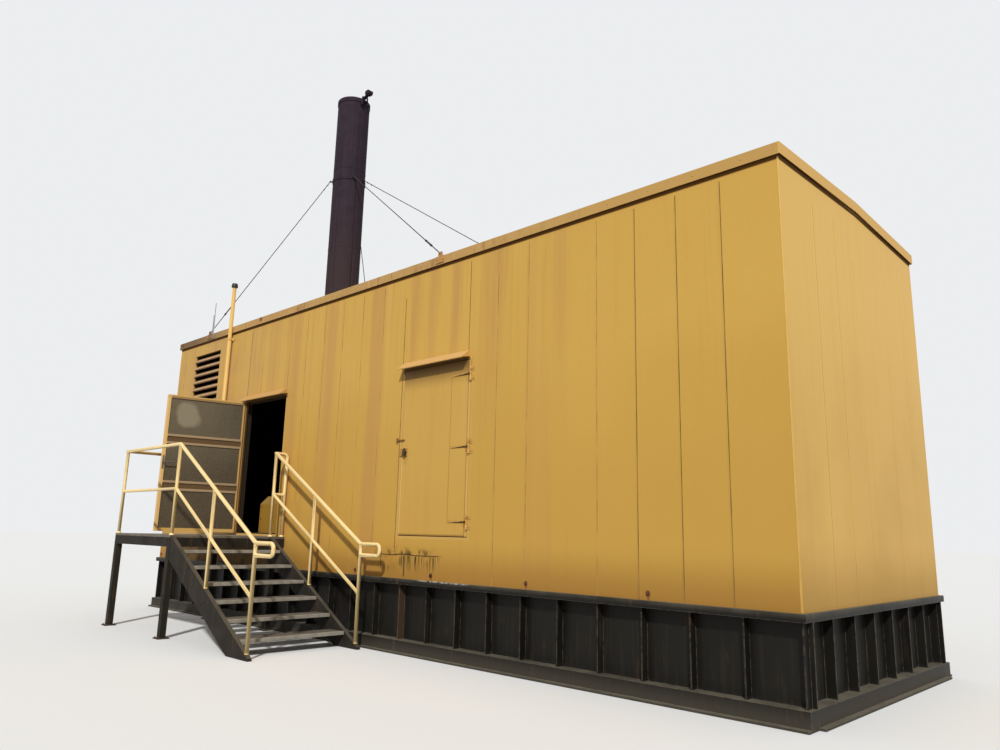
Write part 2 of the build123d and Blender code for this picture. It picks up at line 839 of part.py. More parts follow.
cap_height = 62
cap_radius = 56
cap_top_radius = 47
with BuildPart() as vent_cap:
    with BuildSketch(Plane((vent_x, vent_y, vent_top), x_dir=(1, 0, 0), z_dir=(0, -1, 0))):
        with BuildLine():
            Polyline((0, 0), (cap_radius, 0), (cap_top_radius, cap_height), (0, cap_height), close=True)
        make_face()
    revolve(axis=Axis((vent_x, vent_y, vent_top), (0, 0, 1)))
keep(vent_cap, "vent_cap")

clip_height = 40
clip_thickness = 5
clip_flange = 48
clip_clearance = 0.1
clip_foot_margin = 600
clip_head_margin = 190
clip_count = 3
clip_start = vent_bottom + clip_foot_margin
clip_step = (wall_top - clip_head_margin - clip_start) / (clip_count - 1)
with BuildPart() as vent_clips:
    for row in range(clip_count):
        with BuildSketch(Plane.XY.offset(clip_start + row * clip_step)):
            with Locations((vent_x, vent_y)):
                Circle(vent_radius + clip_thickness)
            with Locations((vent_x, (vent_y - half_width) / 2)):
                Rectangle(2 * vent_radius, vent_standoff)
            with Locations((vent_x, -half_width - clip_thickness / 2)):
                Rectangle(2 * (vent_radius + clip_flange), clip_thickness)
            with Locations((vent_x, vent_y)):
                Circle(vent_radius + clip_clearance, mode=Mode.SUBTRACT)
        extrude(amount=clip_height)
keep(vent_clips, "vent_clips")

# Landing: a beam frame on four legs, decked with grating and fixed to the wall under the doorway.
deck_bottom = floor_level - deck_thickness
beam_bottom = deck_bottom - landing_beam
landing_length = landing_right - landing_left
landing_middle = ((landing_left + landing_right) / 2, (landing_outer - half_width) / 2)
with BuildPart() as landing_deck:
    with BuildSketch(Plane.XY.offset(deck_bottom)):
        with Locations(landing_middle):
            Rectangle(landing_length, landing_depth)
    extrude(amount=deck_thickness)
keep(landing_deck, "landing_deck")

foot_size = 150
foot_thickness = 12
leg_inset = leg_size / 2
leg_back = -half_width - sole_lip - foot_size / 2
with BuildPart() as landing_frame:
    with BuildSketch(Plane.XY.offset(beam_bottom)):
        with Locations(landing_middle):
            Rectangle(landing_length, landing_depth)
            Rectangle(
                landing_length - 2 * landing_beam_width,
                landing_depth - 2 * landing_beam_width,
                mode=Mode.SUBTRACT,
            )
            Rectangle(landing_beam_width, landing_depth)
    extrude(amount=landing_beam)
    for leg_x in (landing_left + leg_inset, landing_right - leg_inset):
        for leg_y in (landing_outer + leg_inset, leg_back):
            with BuildSketch(Plane.XY):
                with Locations((leg_x, leg_y)):
                    Rectangle(leg_size, leg_size)
            extrude(amount=deck_bottom)
            with BuildSketch(Plane.XY):
                with Locations((leg_x, leg_y)):
                    Rectangle(foot_size, foot_size)
            extrude(amount=foot_thickness)
keep(landing_frame, "landing_frame")

# Stair: two plate stringers from the landing to the ground, with open treads between them.
outer_rail_y = landing_outer + rail_inset
stringer_end = landing_right + stair_going * (stair_risers - 1) + stair_going * 0.85
heel_x = landing_right + (floor_level - stringer_depth) / stair_slope
toe_height = floor_level - (stringer_end - landing_right) * stair_slope


def stringer(centre_y):
    """One sloping stringer, cut level at the ground and upright at the landing."""
    with BuildPart() as plate:
        with BuildSketch(Plane.XZ.offset(-centre_y - stringer_width / 2)):
            with BuildLine():
                Polyline(
                    (landing_right, floor_level),
                    (stringer_end, toe_height),
                    (stringer_end, 0),
                    (heel_x, 0),
                    (landing_right, floor_level - stringer_depth),
                    close=True,
                )
            make_face()
        extrude(amount=stringer_width)
    return plate


stringer_outer = stringer(outer_rail_y)
keep(stringer_outer, "stringer_outer")
stringer_wall_side = stringer(wall_rail_y)
keep(stringer_wall_side, "stringer_wall_side")

tread_depth = stair_going - tread_gap
tread_start = Plane.XZ.offset(-wall_rail_y + stringer_width / 2)
tread_length = wall_rail_y - outer_rail_y - stringer_width
with BuildPart() as stair_treads:
    for step in range(1, stair_risers):
        tread_x = landing_right + stair_going * step - tread_depth / 2
        tread_z = floor_level - stair_rise * step
        with BuildSketch(tread_start):
            with Locations((tread_x, tread_z - tread_lip / 2)):
                Rectangle(tread_depth, tread_lip)
            with Locations((tread_x, tread_z - tread_plate - tread_lip / 2)):
                Rectangle(tread_depth - 2 * tread_plate, tread_lip, mode=Mode.SUBTRACT)
        extrude(amount=tread_length)
keep(stair_treads, "stair_treads")

# Guard rails: welded pipe with mitred corners, posts, a mid rail and a bent loop at the foot of the stair.
rail_left_x = landing_left + rail_inset
rail_right_x = landing_right - rail_inset
top_level = floor_level + rail_height
mid_level = floor_level + mid_rail_height
handrail_end_x = rail_right_x + handrail_run
end_level = top_level - handrail_run * stair_slope
mid_end_level = mid_level - handrail_run * stair_slope
mid_post_x = rail_right_x + handrail_run / 2


def handrail_foot(y):
    """The points of the bend and the loop at the foot of one handrail."""
    return [
        (handrail_end_x, y, end_level),
        (handrail_end_x + loop_reach, y, end_level),
        (handrail_end_x + loop_reach, y, end_level - loop_height),
        (handrail_end_x, y, end_level - loop_height),
    ]


def stair_posts(y):
    """The posts and the sloping mid rail beside the stair."""
    pipes = [bar((rail_right_x, y, floor_level), (rail_right_x, y, top_level), post_radius)]
    for post_x in (mid_post_x, handrail_end_x):
        rail_z = top_level - (post_x - rail_right_x) * stair_slope
        foot_z = floor_level - (post_x - landing_right) * stair_slope - pipe_radius
        pipes.append(bar((post_x, y, foot_z), (post_x, y, rail_z), post_radius))
    pipes.append(bar((rail_right_x, y, mid_level), (handrail_end_x, y, mid_end_level), mid_rail_radius))
    return pipes


with BuildPart() as guard_rail_outer:
    with BuildLine():
        Polyline(
            (rail_left_x, -half_width, top_level),
            (rail_left_x, outer_rail_y, top_level),
            (rail_right_x, outer_rail_y, top_level),
        )
        FilletPolyline(
            (rail_right_x, outer_rail_y, top_level),
            *handrail_foot(outer_rail_y),
            radius=bend_radius,
        )
    with BuildSketch(Plane((rail_left_x, -half_width, top_level), z_dir=(0, -1, 0))):
        RegularPolygon(pipe_radius, pipe_sides)
    sweep(transition=Transition.RIGHT)
    add(bar((rail_left_x, outer_rail_y, floor_level), (rail_left_x, outer_rail_y, top_level), post_radius))
    add(bar((rail_left_x, outer_rail_y, mid_level), (rail_right_x, outer_rail_y, mid_level), mid_rail_radius))
    add(stair_posts(outer_rail_y))
    add(stringer_outer.part, mode=Mode.SUBTRACT)
keep(guard_rail_outer, "guard_rail_outer")

return_gap = 16
return_y = -half_width - pipe_radius - return_gap
with BuildPart() as guard_rail_wall_side:
    with BuildLine():
        FilletPolyline(
            (rail_right_x, return_y, floor_level),
            (rail_right_x, return_y, top_level),
            (rail_right_x, wall_rail_y, top_level),
            radius=bend_radius,
        )
        FilletPolyline(
            (rail_right_x, wall_rail_y, top_level),
            *handrail_foot(wall_rail_y),
            radius=bend_radius,
        )
    with BuildSketch(Plane((rail_right_x, return_y, floor_level))):
        RegularPolygon(pipe_radius, pipe_sides)
    sweep(transition=Transition.RIGHT)
    add(bar((rail_right_x, return_y, mid_level), (rail_right_x, wall_rail_y, mid_level), mid_rail_radius))
    add(stair_posts(wall_rail_y))
    add(stringer_wall_side.part, mode=Mode.SUBTRACT)
keep(guard_rail_wall_side, "guard_rail_wall_side")

# Machine guard: the low steel cover that shows just inside the entry door.
guard_inset = 180
guard_left = entry_left + guard_inset
guard_length = 1250
guard_depth = 500
guard_height = 620
guard_slope = 124
guard_setback = 200
guard_front = -half_width + wall_thickness + guard_setback
with BuildPart() as machine_guard:
    with BuildSketch(Plane.YZ.offset(guard_left)):
        with BuildLine():
            Polyline(
                (guard_front, floor_level),
                (guard_front, floor_level + guard_height - guard_slope),
                (guard_front + guard_slope, floor_level + guard_height),
                (guard_front + guard_depth, floor_level + guard_height),
                (guard_front + guard_depth, floor_level),
                close=True,
            )
        make_face()
    extrude(amount=guard_length)
keep(machine_guard, "machine_guard")

# Roof rods: two thin rods on a small plate at the front roof edge.
rod_offset = 140
rod_x = stay_left + rod_offset
rod_radius = 7
rod_plate = 10
rod_spacing = 36
rod_heights = (560, 340)
rod_plate_height = 78
rod_plate_margin = 20
rod_y = -half_width - trim_thickness - rod_plate
rod_foot = eave_height - rod_plate_height
with BuildPart() as roof_rods:
    with BuildSketch(front_face.offset(trim_thickness)):
        with Locations((rod_x - rod_spacing / 2, eave_height - trim_height / 2)):
            Rectangle(rod_spacing + 2 * rod_plate_margin, rod_plate_height)
    extrude(amount=rod_plate)
    for index, rod_height in enumerate(rod_heights):
        x = rod_x - rod_spacing * index
        add(bar((x, rod_y, rod_foot), (x, rod_y, eave_height + rod_height), rod_radius, rod_sides))
keep(roof_rods, "roof_rods")
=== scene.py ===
import math

import bpy
from mathutils import Matrix, Vector


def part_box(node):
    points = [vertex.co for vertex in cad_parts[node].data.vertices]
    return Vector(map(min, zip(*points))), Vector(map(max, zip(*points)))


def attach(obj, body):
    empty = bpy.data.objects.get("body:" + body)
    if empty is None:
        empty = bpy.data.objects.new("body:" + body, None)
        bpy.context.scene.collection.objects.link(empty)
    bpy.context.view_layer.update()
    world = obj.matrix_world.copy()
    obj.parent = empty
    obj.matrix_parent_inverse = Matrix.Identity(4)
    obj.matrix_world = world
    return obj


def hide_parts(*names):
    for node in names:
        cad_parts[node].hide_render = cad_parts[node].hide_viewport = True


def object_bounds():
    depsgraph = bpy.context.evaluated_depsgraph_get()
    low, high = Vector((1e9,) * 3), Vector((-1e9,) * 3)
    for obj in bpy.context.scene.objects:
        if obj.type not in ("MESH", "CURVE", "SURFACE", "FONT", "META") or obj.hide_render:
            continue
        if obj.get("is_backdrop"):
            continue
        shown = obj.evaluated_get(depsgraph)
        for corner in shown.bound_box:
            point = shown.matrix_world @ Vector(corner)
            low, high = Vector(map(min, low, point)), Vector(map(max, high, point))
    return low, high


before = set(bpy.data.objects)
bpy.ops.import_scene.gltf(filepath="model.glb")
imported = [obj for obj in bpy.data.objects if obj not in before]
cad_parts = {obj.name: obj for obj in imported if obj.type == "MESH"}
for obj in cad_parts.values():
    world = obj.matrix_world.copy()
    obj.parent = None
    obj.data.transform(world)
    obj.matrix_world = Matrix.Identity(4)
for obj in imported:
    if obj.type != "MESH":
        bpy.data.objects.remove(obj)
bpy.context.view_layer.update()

# Camera: the photographer stood low in front of the right end of the housing and looked up along its front.
# The lens is a phone's main lens, held a little off level.
eye = Vector((8.455, -7.915, 1.399))
yaw = math.radians(-43.949)
pitch = math.radians(11.684)
roll = math.radians(1.349)
ahead = Vector((math.sin(yaw) * math.cos(pitch), math.cos(yaw) * math.cos(pitch), math.sin(pitch)))
level = Vector((math.cos(yaw), -math.sin(yaw), 0))
upright = level.cross(ahead)
to_right = math.cos(roll) * level + math.sin(roll) * upright
to_top = math.cos(roll) * upright - math.sin(roll) * level
camera = bpy.data.objects.new("camera", bpy.data.cameras.new("camera"))
camera.data.sensor_fit = "HORIZONTAL"
camera.data.sensor_width = 36
camera.data.lens = 27.70
camera.matrix_world = Matrix.Translation(eye) @ Matrix((to_right, to_top, -ahead)).transposed().to_4x4()
bpy.context.scene.collection.objects.link(camera)
bpy.context.scene.camera = camera
bpy.context.scene.view_settings.view_transform = "Standard"


# Studio: a pale floor that keeps the shadow, a pale world, and one soft key light from the front right,
# which stands as high as the sun does in the photo.
def node(tree, kind, inputs=None, **settings):
    """One shader node with its settings, and its inputs as values or as sockets to link."""
    made = tree.nodes.new(kind)
    for key, value in settings.items():
        setattr(made, key, value)
    for key, value in (inputs or {}).items():
        if isinstance(value, bpy.types.NodeSocket):
            tree.links.new(value, made.inputs[key])
        else:
            made.inputs[key].default_value = value
    return made


def paint(red, green, blue):
    """A colour as a painter reads it off a card, 0 to 255, made linear for a shader."""
    shares = (value / 255 for value in (red, green, blue))
    return tuple(v / 12.92 if v <= 0.04045 else ((v + 0.055) / 1.055) ** 2.4 for v in shares) + (1.0,)


def maths(tree, operation, first, second=0.0, third=0.0, clamp=False):
    """The result of one sum on values or sockets."""
    return node(
        tree,
        "ShaderNodeMath",
        {0: first, 1: second, 2: third},
        operation=operation,
        use_clamp=clamp,
    ).outputs[0]


def mixed(tree, share, base, over):
    """One colour laid over another by a share."""
    return node(tree, "ShaderNodeMix", {0: share, 6: base, 7: over}, data_type="RGBA").outputs[2]


floor_size = 300
bpy.ops.object.select_all(action="DESELECT")
bpy.ops.mesh.primitive_plane_add(size=floor_size, location=(0, 0, -0.001))
studio_floor = bpy.context.active_object
studio_floor.name = "studio_floor"
bpy.ops.object.transform_apply(location=True, rotation=True, scale=True)
studio_floor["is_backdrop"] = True


def seen_rays(tree):
    """A mask of the rays that show a surface itself: straight, in a reflection or through glass."""
    rays = node(tree, "ShaderNodeLightPath").outputs
    seen = maths(tree, "MAXIMUM", rays["Is Camera Ray"], rays["Is Glossy Ray"])
    return maths(tree, "MAXIMUM", seen, rays["Is Transmission Ray"])


floor_finish = bpy.data.materials.new("studio_floor")
floor_finish.use_nodes = True
floor_tree = floor_finish.node_tree
floor_shader = floor_tree.nodes["Principled BSDF"]
floor_colour = mixed(floor_tree, seen_rays(floor_tree), paint(150, 150, 149), paint(222, 222, 220))
floor_tree.links.new(floor_colour, floor_shader.inputs["Base Color"])
floor_shader.inputs["Roughness"].default_value = 0.9
studio_floor.data.materials.append(floor_finish)

studio = bpy.data.worlds.new("studio")
bpy.context.scene.world = studio
studio.use_nodes = True
air = studio.node_tree
air.nodes.clear()
glow = node(air, "ShaderNodeBackground", {"Color": (1.0, 1.0, 1.0, 1.0), "Strength": 0.45})
pale = node(air, "ShaderNodeBackground", {"Color": paint(236, 238, 240), "Strength": 1.0})
either = node(air, "ShaderNodeMixShader", {0: seen_rays(air), 1: glow.outputs[0], 2: pale.outputs[0]})
node(air, "ShaderNodeOutputWorld", {"Surface": either.outputs[0]})

key_light = bpy.data.objects.new("key_light", bpy.data.lights.new("key_light", "SUN"))
key_light.data.energy = 3.4
key_light.data.angle = math.radians(3)
key_direction = Vector((-0.85, 1.0, -1.05))
key_light.rotation_mode = "QUATERNION"
key_light.rotation_quaternion = key_direction.to_track_quat("-Z", "Y")
bpy.context.scene.collection.objects.link(key_light)


# Base: black painted channel rails round a fuel tank. The paint is dusty and chalked along its edges,
# with brown rust where the stiffeners are welded in. The top flange has a pale painted highlight along it,
# with chalky scuffs in it.
def fade(tree, value, start, end, low=0.0, high=1.0):
    """A smooth change from low to high as a value goes from start to end."""
    inputs = {"Value": value, "From Min": start, "From Max": end, "To Min": low, "To Max": high}
    return node(tree, "ShaderNodeMapRange", inputs, interpolation_type="SMOOTHSTEP").outputs[0]


def noise(tree, vector, scale, detail=2.0, roughness=0.5):
    """Soft noise from 0 to 1 at a scale in cells a metre."""
    inputs = {"Vector": vector, "Scale": scale, "Detail": detail, "Roughness": roughness}
    return node(tree, "ShaderNodeTexNoise", inputs).outputs["Fac"]


def shared_group(name, output, **inputs):
    """A shader node group with a place, more inputs with a value each, and one output value."""
    group = bpy.data.node_groups.new(name, "ShaderNodeTree")
    for label, value in {"Place": None, **inputs}.items():
        kind = "NodeSocketVector" if value is None else "NodeSocketFloat"
        socket = group.interface.new_socket(label, in_out="INPUT", socket_type=kind)
        if value is not None:
            socket.default_value = value
    group.interface.new_socket(output, in_out="OUTPUT", socket_type="NodeSocketFloat")
    given = group.nodes.new("NodeGroupInput").outputs
    result = group.nodes.new("NodeGroupOutput").inputs[0]
    return group, given, result


def vectors(tree, operation, first, second=(0.0, 0.0, 0.0)):
    """The outputs of one sum on vectors."""
    return node(tree, "ShaderNodeVectorMath", {0: first, 1: second}, operation=operation).outputs


def parted(tree, vector):
    """The X, Y and Z of a vector."""
    return node(tree, "ShaderNodeSeparateXYZ", {0: vector}).outputs


def normal(tree):
    """The way the surface faces."""
    return node(tree, "ShaderNodeNewGeometry").outputs["Normal"]


mottle, given, result = shared_group("mottle", "Share", Patch=1.0, Contrast=2.0)
cells = maths(mottle, "DIVIDE", 1.0, given["Patch"])
cloud = noise(mottle, given["Place"], cells, detail=3.0)
spread = maths(mottle, "MULTIPLY", maths(mottle, "SUBTRACT", cloud, 0.5), given["Contrast"])
mottle.links.new(maths(mottle, "ADD", spread, 0.5, clamp=True), result)

streaks, given, result = shared_group("rain_streaks", "Mask", Width=0.1, Length=2.0, Cover=0.4)
apart = parted(streaks, given["Place"])
along_wall = maths(streaks, "ADD", apart["X"], apart["Y"])
narrow = maths(streaks, "DIVIDE", along_wall, given["Width"])
tall = maths(streaks, "DIVIDE", apart["Z"], given["Length"])
run = node(streaks, "ShaderNodeCombineXYZ", {"X": narrow, "Y": tall, "Z": given["Length"]}).outputs[0]
stripes = noise(streaks, run, 1.0, detail=2.5, roughness=0.6)
threshold = maths(streaks, "MULTIPLY_ADD", given["Cover"], -0.4, 0.7)
soft_edge = maths(streaks, "ADD", threshold, 0.16)
streaks.links.new(fade(streaks, stripes, threshold, soft_edge), result)

dust, given, result = shared_group("settled_dust", "Mask", Cover=0.5)
flat_share = fade(dust, parted(dust, normal(dust))["Z"], 0.3, 0.9)
patchy = fade(dust, noise(dust, given["Place"], 3.0, detail=4.0), 0.2, 0.7, 0.4, 1.0)
lying = maths(dust, "MULTIPLY", flat_share, patchy)
dust.links.new(maths(dust, "MULTIPLY", lying, given["Cover"]), result)

edges, given, result = shared_group("worn_edges", "Mask", Radius=0.006, Wear=0.5)
softened = node(edges, "ShaderNodeBevel", {"Radius": given["Radius"]}, samples=4).outputs[0]
bent = vectors(edges, "DOT_PRODUCT", softened, normal(edges))["Value"]
near_edge = fade(edges, maths(edges, "SUBTRACT", 1.0, bent), 0.01, 0.12)
chips = fade(edges, noise(edges, given["Place"], 14.0, detail=4.0, roughness=0.7), 0.35, 0.6)
worn = maths(edges, "MULTIPLY", near_edge, chips)
edges.links.new(maths(edges, "MULTIPLY", worn, given["Wear"]), result)

bleed, given, result = shared_group("rust_bleed", "Mask", Centre=None, Reach=0.1, Drop=0.3)
parts = parted(bleed, vectors(bleed, "SUBTRACT", given["Place"], given["Centre"])[0])
sideways = maths(bleed, "DIVIDE", maths(bleed, "ADD", parts["X"], parts["Y"]), given["Reach"])
below = maths(bleed, "DIVIDE", maths(bleed, "MINIMUM", parts["Z"], 0.0), given["Drop"])
above = maths(bleed, "DIVIDE", maths(bleed, "MAXIMUM", parts["Z"], 0.0), given["Reach"])
upright_part = maths(bleed, "POWER", maths(bleed, "ADD", below, above), 2.0)
radius = maths(bleed, "ADD", maths(bleed, "POWER", sideways, 2.0), upright_part)
ragged = maths(bleed, "MULTIPLY_ADD", noise(bleed, given["Place"], 26.0, detail=4.0), 1.6, -0.8)
bleed.links.new(fade(bleed, maths(bleed, "ADD", radius, ragged), 1.0, 0.1), result)


class Finish:
    """A surface finish built up in coats, each laid over the colour by a mask."""

    def __init__(self, name, colour, roughness, metallic=0.0, gloss=0.3):
        self.material = bpy.data.materials.new(name)
        self.material.use_nodes = True
        self.tree = self.material.node_tree
        self.shader = self.tree.nodes["Principled BSDF"]
        self.shader.inputs["Metallic"].default_value = metallic
        self.shader.inputs["Specular IOR Level"].default_value = gloss
        self.place = node(self.tree, "ShaderNodeTexCoord").outputs["Object"]
        self.colour = paint(*colour)
        self.roughness = roughness
        self.height = None

    def group(self, shared, **values):
        """The mask or share that a shared group gives here."""
        inputs = {"Place": self.place}
        inputs.update({key.capitalize(): value for key, value in values.items()})
        return node(self.tree, "ShaderNodeGroup", inputs, node_tree=shared).outputs[0]

    def axis(self, letter):
        """The place along one axis, in metres."""
        return parted(self.tree, self.place)[letter]

    def noise(self, scale, detail=2.0, roughness=0.5):
        return noise(self.tree, self.place, scale, detail, roughness)

    def maths(self, operation, first, second=0.0, third=0.0):
        return maths(self.tree, operation, first, second, third)

    def times(self, first, *others):
        """Masks laid over one another."""
        for other in others:
            first = self.maths("MULTIPLY", first, other)
        return first

    def fade(self, value, start, end):
        """A change from 0 to 1 along an axis, given by its letter, or over another value."""
        value = self.axis(value) if isinstance(value, str) else value
        return fade(self.tree, value, start, end)

    def band(self, value, start, end, soft):
        """A mask over the stretch between two values, with soft ends."""
        return self.times(self.fade(value, start - soft, start), self.fade(value, end + soft, end))

    def coat(self, mask, colour, share=1.0, roughness=None):
        """Lay a colour over what is there, and its own roughness with it."""
        amount = self.times(mask, share)
        self.colour = mixed(self.tree, amount, self.colour, paint(*colour))
        if roughness is not None:
            inputs = {0: amount, 2: self.roughness, 3: roughness}
            self.roughness = node(self.tree, "ShaderNodeMix", inputs).outputs[0]

    def tint(self, value, start, end, colour, share=1.0, roughness=None):
        """Lay a colour that grows from nothing to full along an axis, or over another value."""
        self.coat(self.fade(value, start, end), colour, share, roughness)

    def weather(self, shared, colour, share=1.0, roughness=None, where=1.0, **values):
        """Lay a colour over the places that a shared effect picks out."""
        self.coat(self.times(self.group(shared, **values), where), colour, share, roughness)

    def relief(self, height, depth):
        """Add a height, whose full range is a depth in metres."""
        lifted = self.times(height, depth)
        self.height = lifted if self.height is None else self.maths("ADD", self.height, lifted)

    def done(self):
        """Join the coats to the shader and give the material."""
        for label, value in (("Base Color", self.colour), ("Roughness", self.roughness)):
            if isinstance(value, bpy.types.NodeSocket):
                self.tree.links.new(value, self.shader.inputs[label])
            else:
                self.shader.inputs[label].default_value = value
        if self.height is not None:
            in_metres = {"Height": self.height, "Strength": 1.0, "Distance": 1.0}
            bump = node(self.tree, "ShaderNodeBump", in_metres)
            self.tree.links.new(bump.outputs[0], self.shader.inputs["Normal"])
        return self.material


def dress(finish, *names):
    """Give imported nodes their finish."""
    for name in names:
        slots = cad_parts[name].data.materials
        slots.clear()
        slots.append(finish)


black_paint = Finish("black_paint", (17, 15, 12), 0.45, gloss=0.18)
black_paint.weather(mottle, (25, 23, 18), 0.7, 0.6, patch=0.7, contrast=2.5)
black_paint.weather(streaks, (44, 38, 30), 0.35, 0.75, width=0.04, length=0.9, cover=0.45)
black_paint.weather(streaks, (72, 50, 34), 0.45, 0.85, width=0.07, length=0.4, cover=0.2)
rusty_upright = black_paint.band("X", 0.965, 0.985, 0.012)
black_paint.coat(rusty_upright, (78, 58, 42), 0.6, 0.85)
splash_height = 0.2
black_paint.tint("Z", splash_height, 0.0, (86, 80, 68), 0.5, 0.9)
# The top flange: a pale painted highlight along it, with chalky scuffs mixed in.
black_paint.weather(mottle, (120, 112, 96), 0.4, 0.85, where=black_paint.fade("Z", 0.80, 0.848), patch=0.3)
chalk_and_glint = black_paint.times(black_paint.band("X", 1.4, 2.1, 0.15), black_paint.fade("Z", 0.835, 0.845))
black_paint.weather(mottle, (204, 196, 182), 0.8, 0.8, where=chalk_and_glint, patch=0.06, contrast=4.0)
black_paint.weather(dust, (124, 116, 98), 0.6, 0.9, cover=0.9)
black_paint.weather(edges, (140, 130, 114), 0.55, 0.85, radius=0.008, wear=0.9)
black_paint.relief(black_paint.noise(60.0, 3.0), 0.0006)
base_finish = black_paint.done()
dress(base_finish, "base_rail_front", "base_rail_rear", "base_rail_left", "base_rail_right", "fuel_tank")

# Room floor: dark steel plate, laid on the tank and seen through the entry doorway. It is mottled with dirt,
# and worn where people walk on it.
worn_plate = Finish("worn_floor_plate", (70, 68, 64), 0.55, 0.3)
worn_plate.weather(mottle, (44, 41, 38), 0.8, 0.8, patch=0.5, contrast=3.0)
worn_plate.weather(mottle, (92, 78, 62), 0.3, 0.9, patch=0.12, contrast=4.0)
worn_plate.relief(worn_plate.noise(40.0, 3.0), 0.0008)
dress(worn_plate.done(), "floor")

# Walls: flat steel sheets, painted yellow and gone deeper towards the foot, with broad brown bands where rain
# runs off the roof, a rusty line under the access doorway and dirt at the foot. Inside they are black,
# painted shade of the dark room within.
wall_low, wall_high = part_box("front_wall_middle")
front_y = wall_low.y
end_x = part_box("right_end_wall")[1].x
wall_foot = wall_low.z
wall_head = wall_high.z
trim_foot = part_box("roof_trim_front")[0].z
gable_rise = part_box("roof_trim_right")[1].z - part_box("roof_trim_front")[1].z
gold = (201, 160, 76)
deep_gold = (184, 141, 60)
rosy_brown = (178, 131, 74)
pale_gold = (210, 171, 90)
rust_brown = (112, 62, 34)
mould_black = (34, 28, 20)
room_shade_black = (22, 20, 18)


def yellow_coat(name, colour=gold, fading=0.5, streaking=0.5, roughness=0.5):
    """The housing's yellow paint, with its soft fading and its rain streaks."""
    coat = Finish(name, colour, roughness, gloss=0.22)
    coat.weather(mottle, deep_gold, fading * 0.6, patch=1.3, contrast=2.4)
    coat.weather(streaks, pale_gold, fading * 0.4, width=0.5, length=9.0, cover=0.35)
    coat.weather(streaks, rosy_brown, streaking * 0.5, width=0.05, length=2.4, cover=0.3)
    coat.weather(mottle, deep_gold, 0.12, roughness + 0.15, patch=0.03, contrast=2.0)
    coat.relief(coat.noise(240.0, 2.0), 0.0003)
    return coat


def shade_under_trim(coat):
    """Painted shade: dark brown in the gap under the roof trim, which climbs to the ridge on the ends."""
    from_middle = coat.maths("ABSOLUTE", coat.axis("Y"))
    climb = coat.maths("MULTIPLY_ADD", from_middle, gable_rise / front_y, gable_rise)
    below_trim = coat.maths("SUBTRACT", coat.axis("Z"), climb)
    depth_down = coat.fade(below_trim, trim_foot - 0.045, trim_foot - 0.03)
    coat.coat(depth_down, (98, 58, 14), 0.92, 0.8)


def end_tones(coat, where):
    """The paler, greyer paint of the ends: faint streaks, dirt low down, painted shade under the trim."""
    coat.coat(where, (219, 177, 94), 1.0)
    coat.weather(streaks, (208, 166, 84), 0.2, 0.6, where, width=0.14, length=4.0, cover=0.5)
    lower = coat.times(coat.fade("Z", 4.0, 1.4), where)
    coat.weather(mottle, (182, 142, 64), 0.85, where=lower, patch=1.4, contrast=1.6)
    foot = coat.fade("Z", wall_foot + 0.6, wall_foot)
    coat.coat(coat.times(where, foot), (150, 112, 56), 0.6, 0.7)
    shade_under_trim(coat)


wall_coat = yellow_coat("wall_yellow", fading=0.4, streaking=0.3)
wall_z = wall_coat.axis("Z")
along = wall_coat.axis("X")
uneven = wall_coat.maths("MULTIPLY_ADD", wall_coat.noise(0.45), 2.6, -1.3)
lower_part = wall_coat.fade(wall_coat.maths("ADD", wall_z, uneven), 3.7, 1.7)
wall_coat.coat(lower_part, (184, 142, 62), 0.65)
middle = wall_coat.fade("X", 4.0, 3.2)
wall_coat.weather(streaks, rosy_brown, 0.3, where=middle, width=0.26, length=8.0, cover=0.5)
wavering = wall_coat.maths("MULTIPLY_ADD", wall_coat.noise(0.8, 3.0), 0.12, -0.06)
wavering = wall_coat.maths("ADD", along, wavering)
under_roof = wall_coat.fade("Z", wall_head - 2.6, wall_head - 0.2)
full_height = 1.0
washed_bands = (
    (-2.55, -2.40, full_height, 0.3),
    (-2.02, -1.68, full_height, 0.25),
    (-1.02, -0.76, full_height, 0.3),
    (0.16, 0.38, full_height, 0.45),
    (1.02, 1.05, under_roof, 0.5),
    (1.35, 1.39, under_roof, 0.45),
    (1.78, 1.81, under_roof, 0.45),
    (2.28, 2.60, under_roof, 0.25),
    (3.01, 3.06, full_height, 0.2),
    (3.16, 3.24, full_height, 0.12),
    (3.39, 3.49, under_roof, 0.35),
)
for left, right, reach, strength in washed_bands:
    washed = wall_coat.times(wall_coat.band(wavering, left, right, 0.1), reach)
    wall_coat.coat(washed, (178, 130, 75), strength, 0.6)
upper_middle = wall_coat.times(under_roof, middle)
wall_coat.weather(streaks, (166, 120, 64), 0.2, 0.7, upper_middle, width=0.05, length=1.7, cover=0.5)
wall_coat.weather(mottle, (172, 132, 86), 0.7, where=wall_coat.fade("X", -1.0, -5.0), patch=0.4)
near_foot = wall_coat.fade("Z", wall_foot + 0.5, wall_foot)
wall_coat.coat(near_foot, (142, 98, 40), 0.7, 0.7)
specks = wall_coat.fade(wall_coat.noise(30.0, 5.0, 0.7), 0.7, 0.75)
wall_coat.coat(specks, rust_brown, 0.3, 0.8)

# Water has run from the access doorway's sill: a rusty line with black mould on it and drips below.
sill_left = 0.57
sill_right = 1.70
sill_line = 1.105
on_front = wall_coat.fade("Y", front_y + 0.02, front_y)
sill_zone = wall_coat.times(wall_coat.band("X", sill_left, sill_right - 0.1, 0.15), on_front)
wavy_level = wall_coat.times(wall_coat.noise(2.5), 0.05)
level_here = wall_coat.maths("SUBTRACT", wall_z, wavy_level)
rust_line = wall_coat.band(level_here, sill_line, sill_line + 0.002, 0.012)
wall_coat.coat(wall_coat.times(rust_line, sill_zone), (72, 40, 22), 0.9, 0.85)
dripping = wall_coat.times(
    wall_coat.fade(level_here, sill_line - 0.27, sill_line - 0.02),
    wall_coat.fade(level_here, sill_line, sill_line - 0.02),
    wall_coat.fade(wall_coat.noise(4.0), 0.42, 0.56),
    sill_zone,
)
wall_coat.weather(streaks, mould_black, 0.9, 0.85, dripping, width=0.02, length=0.6, cover=0.6)
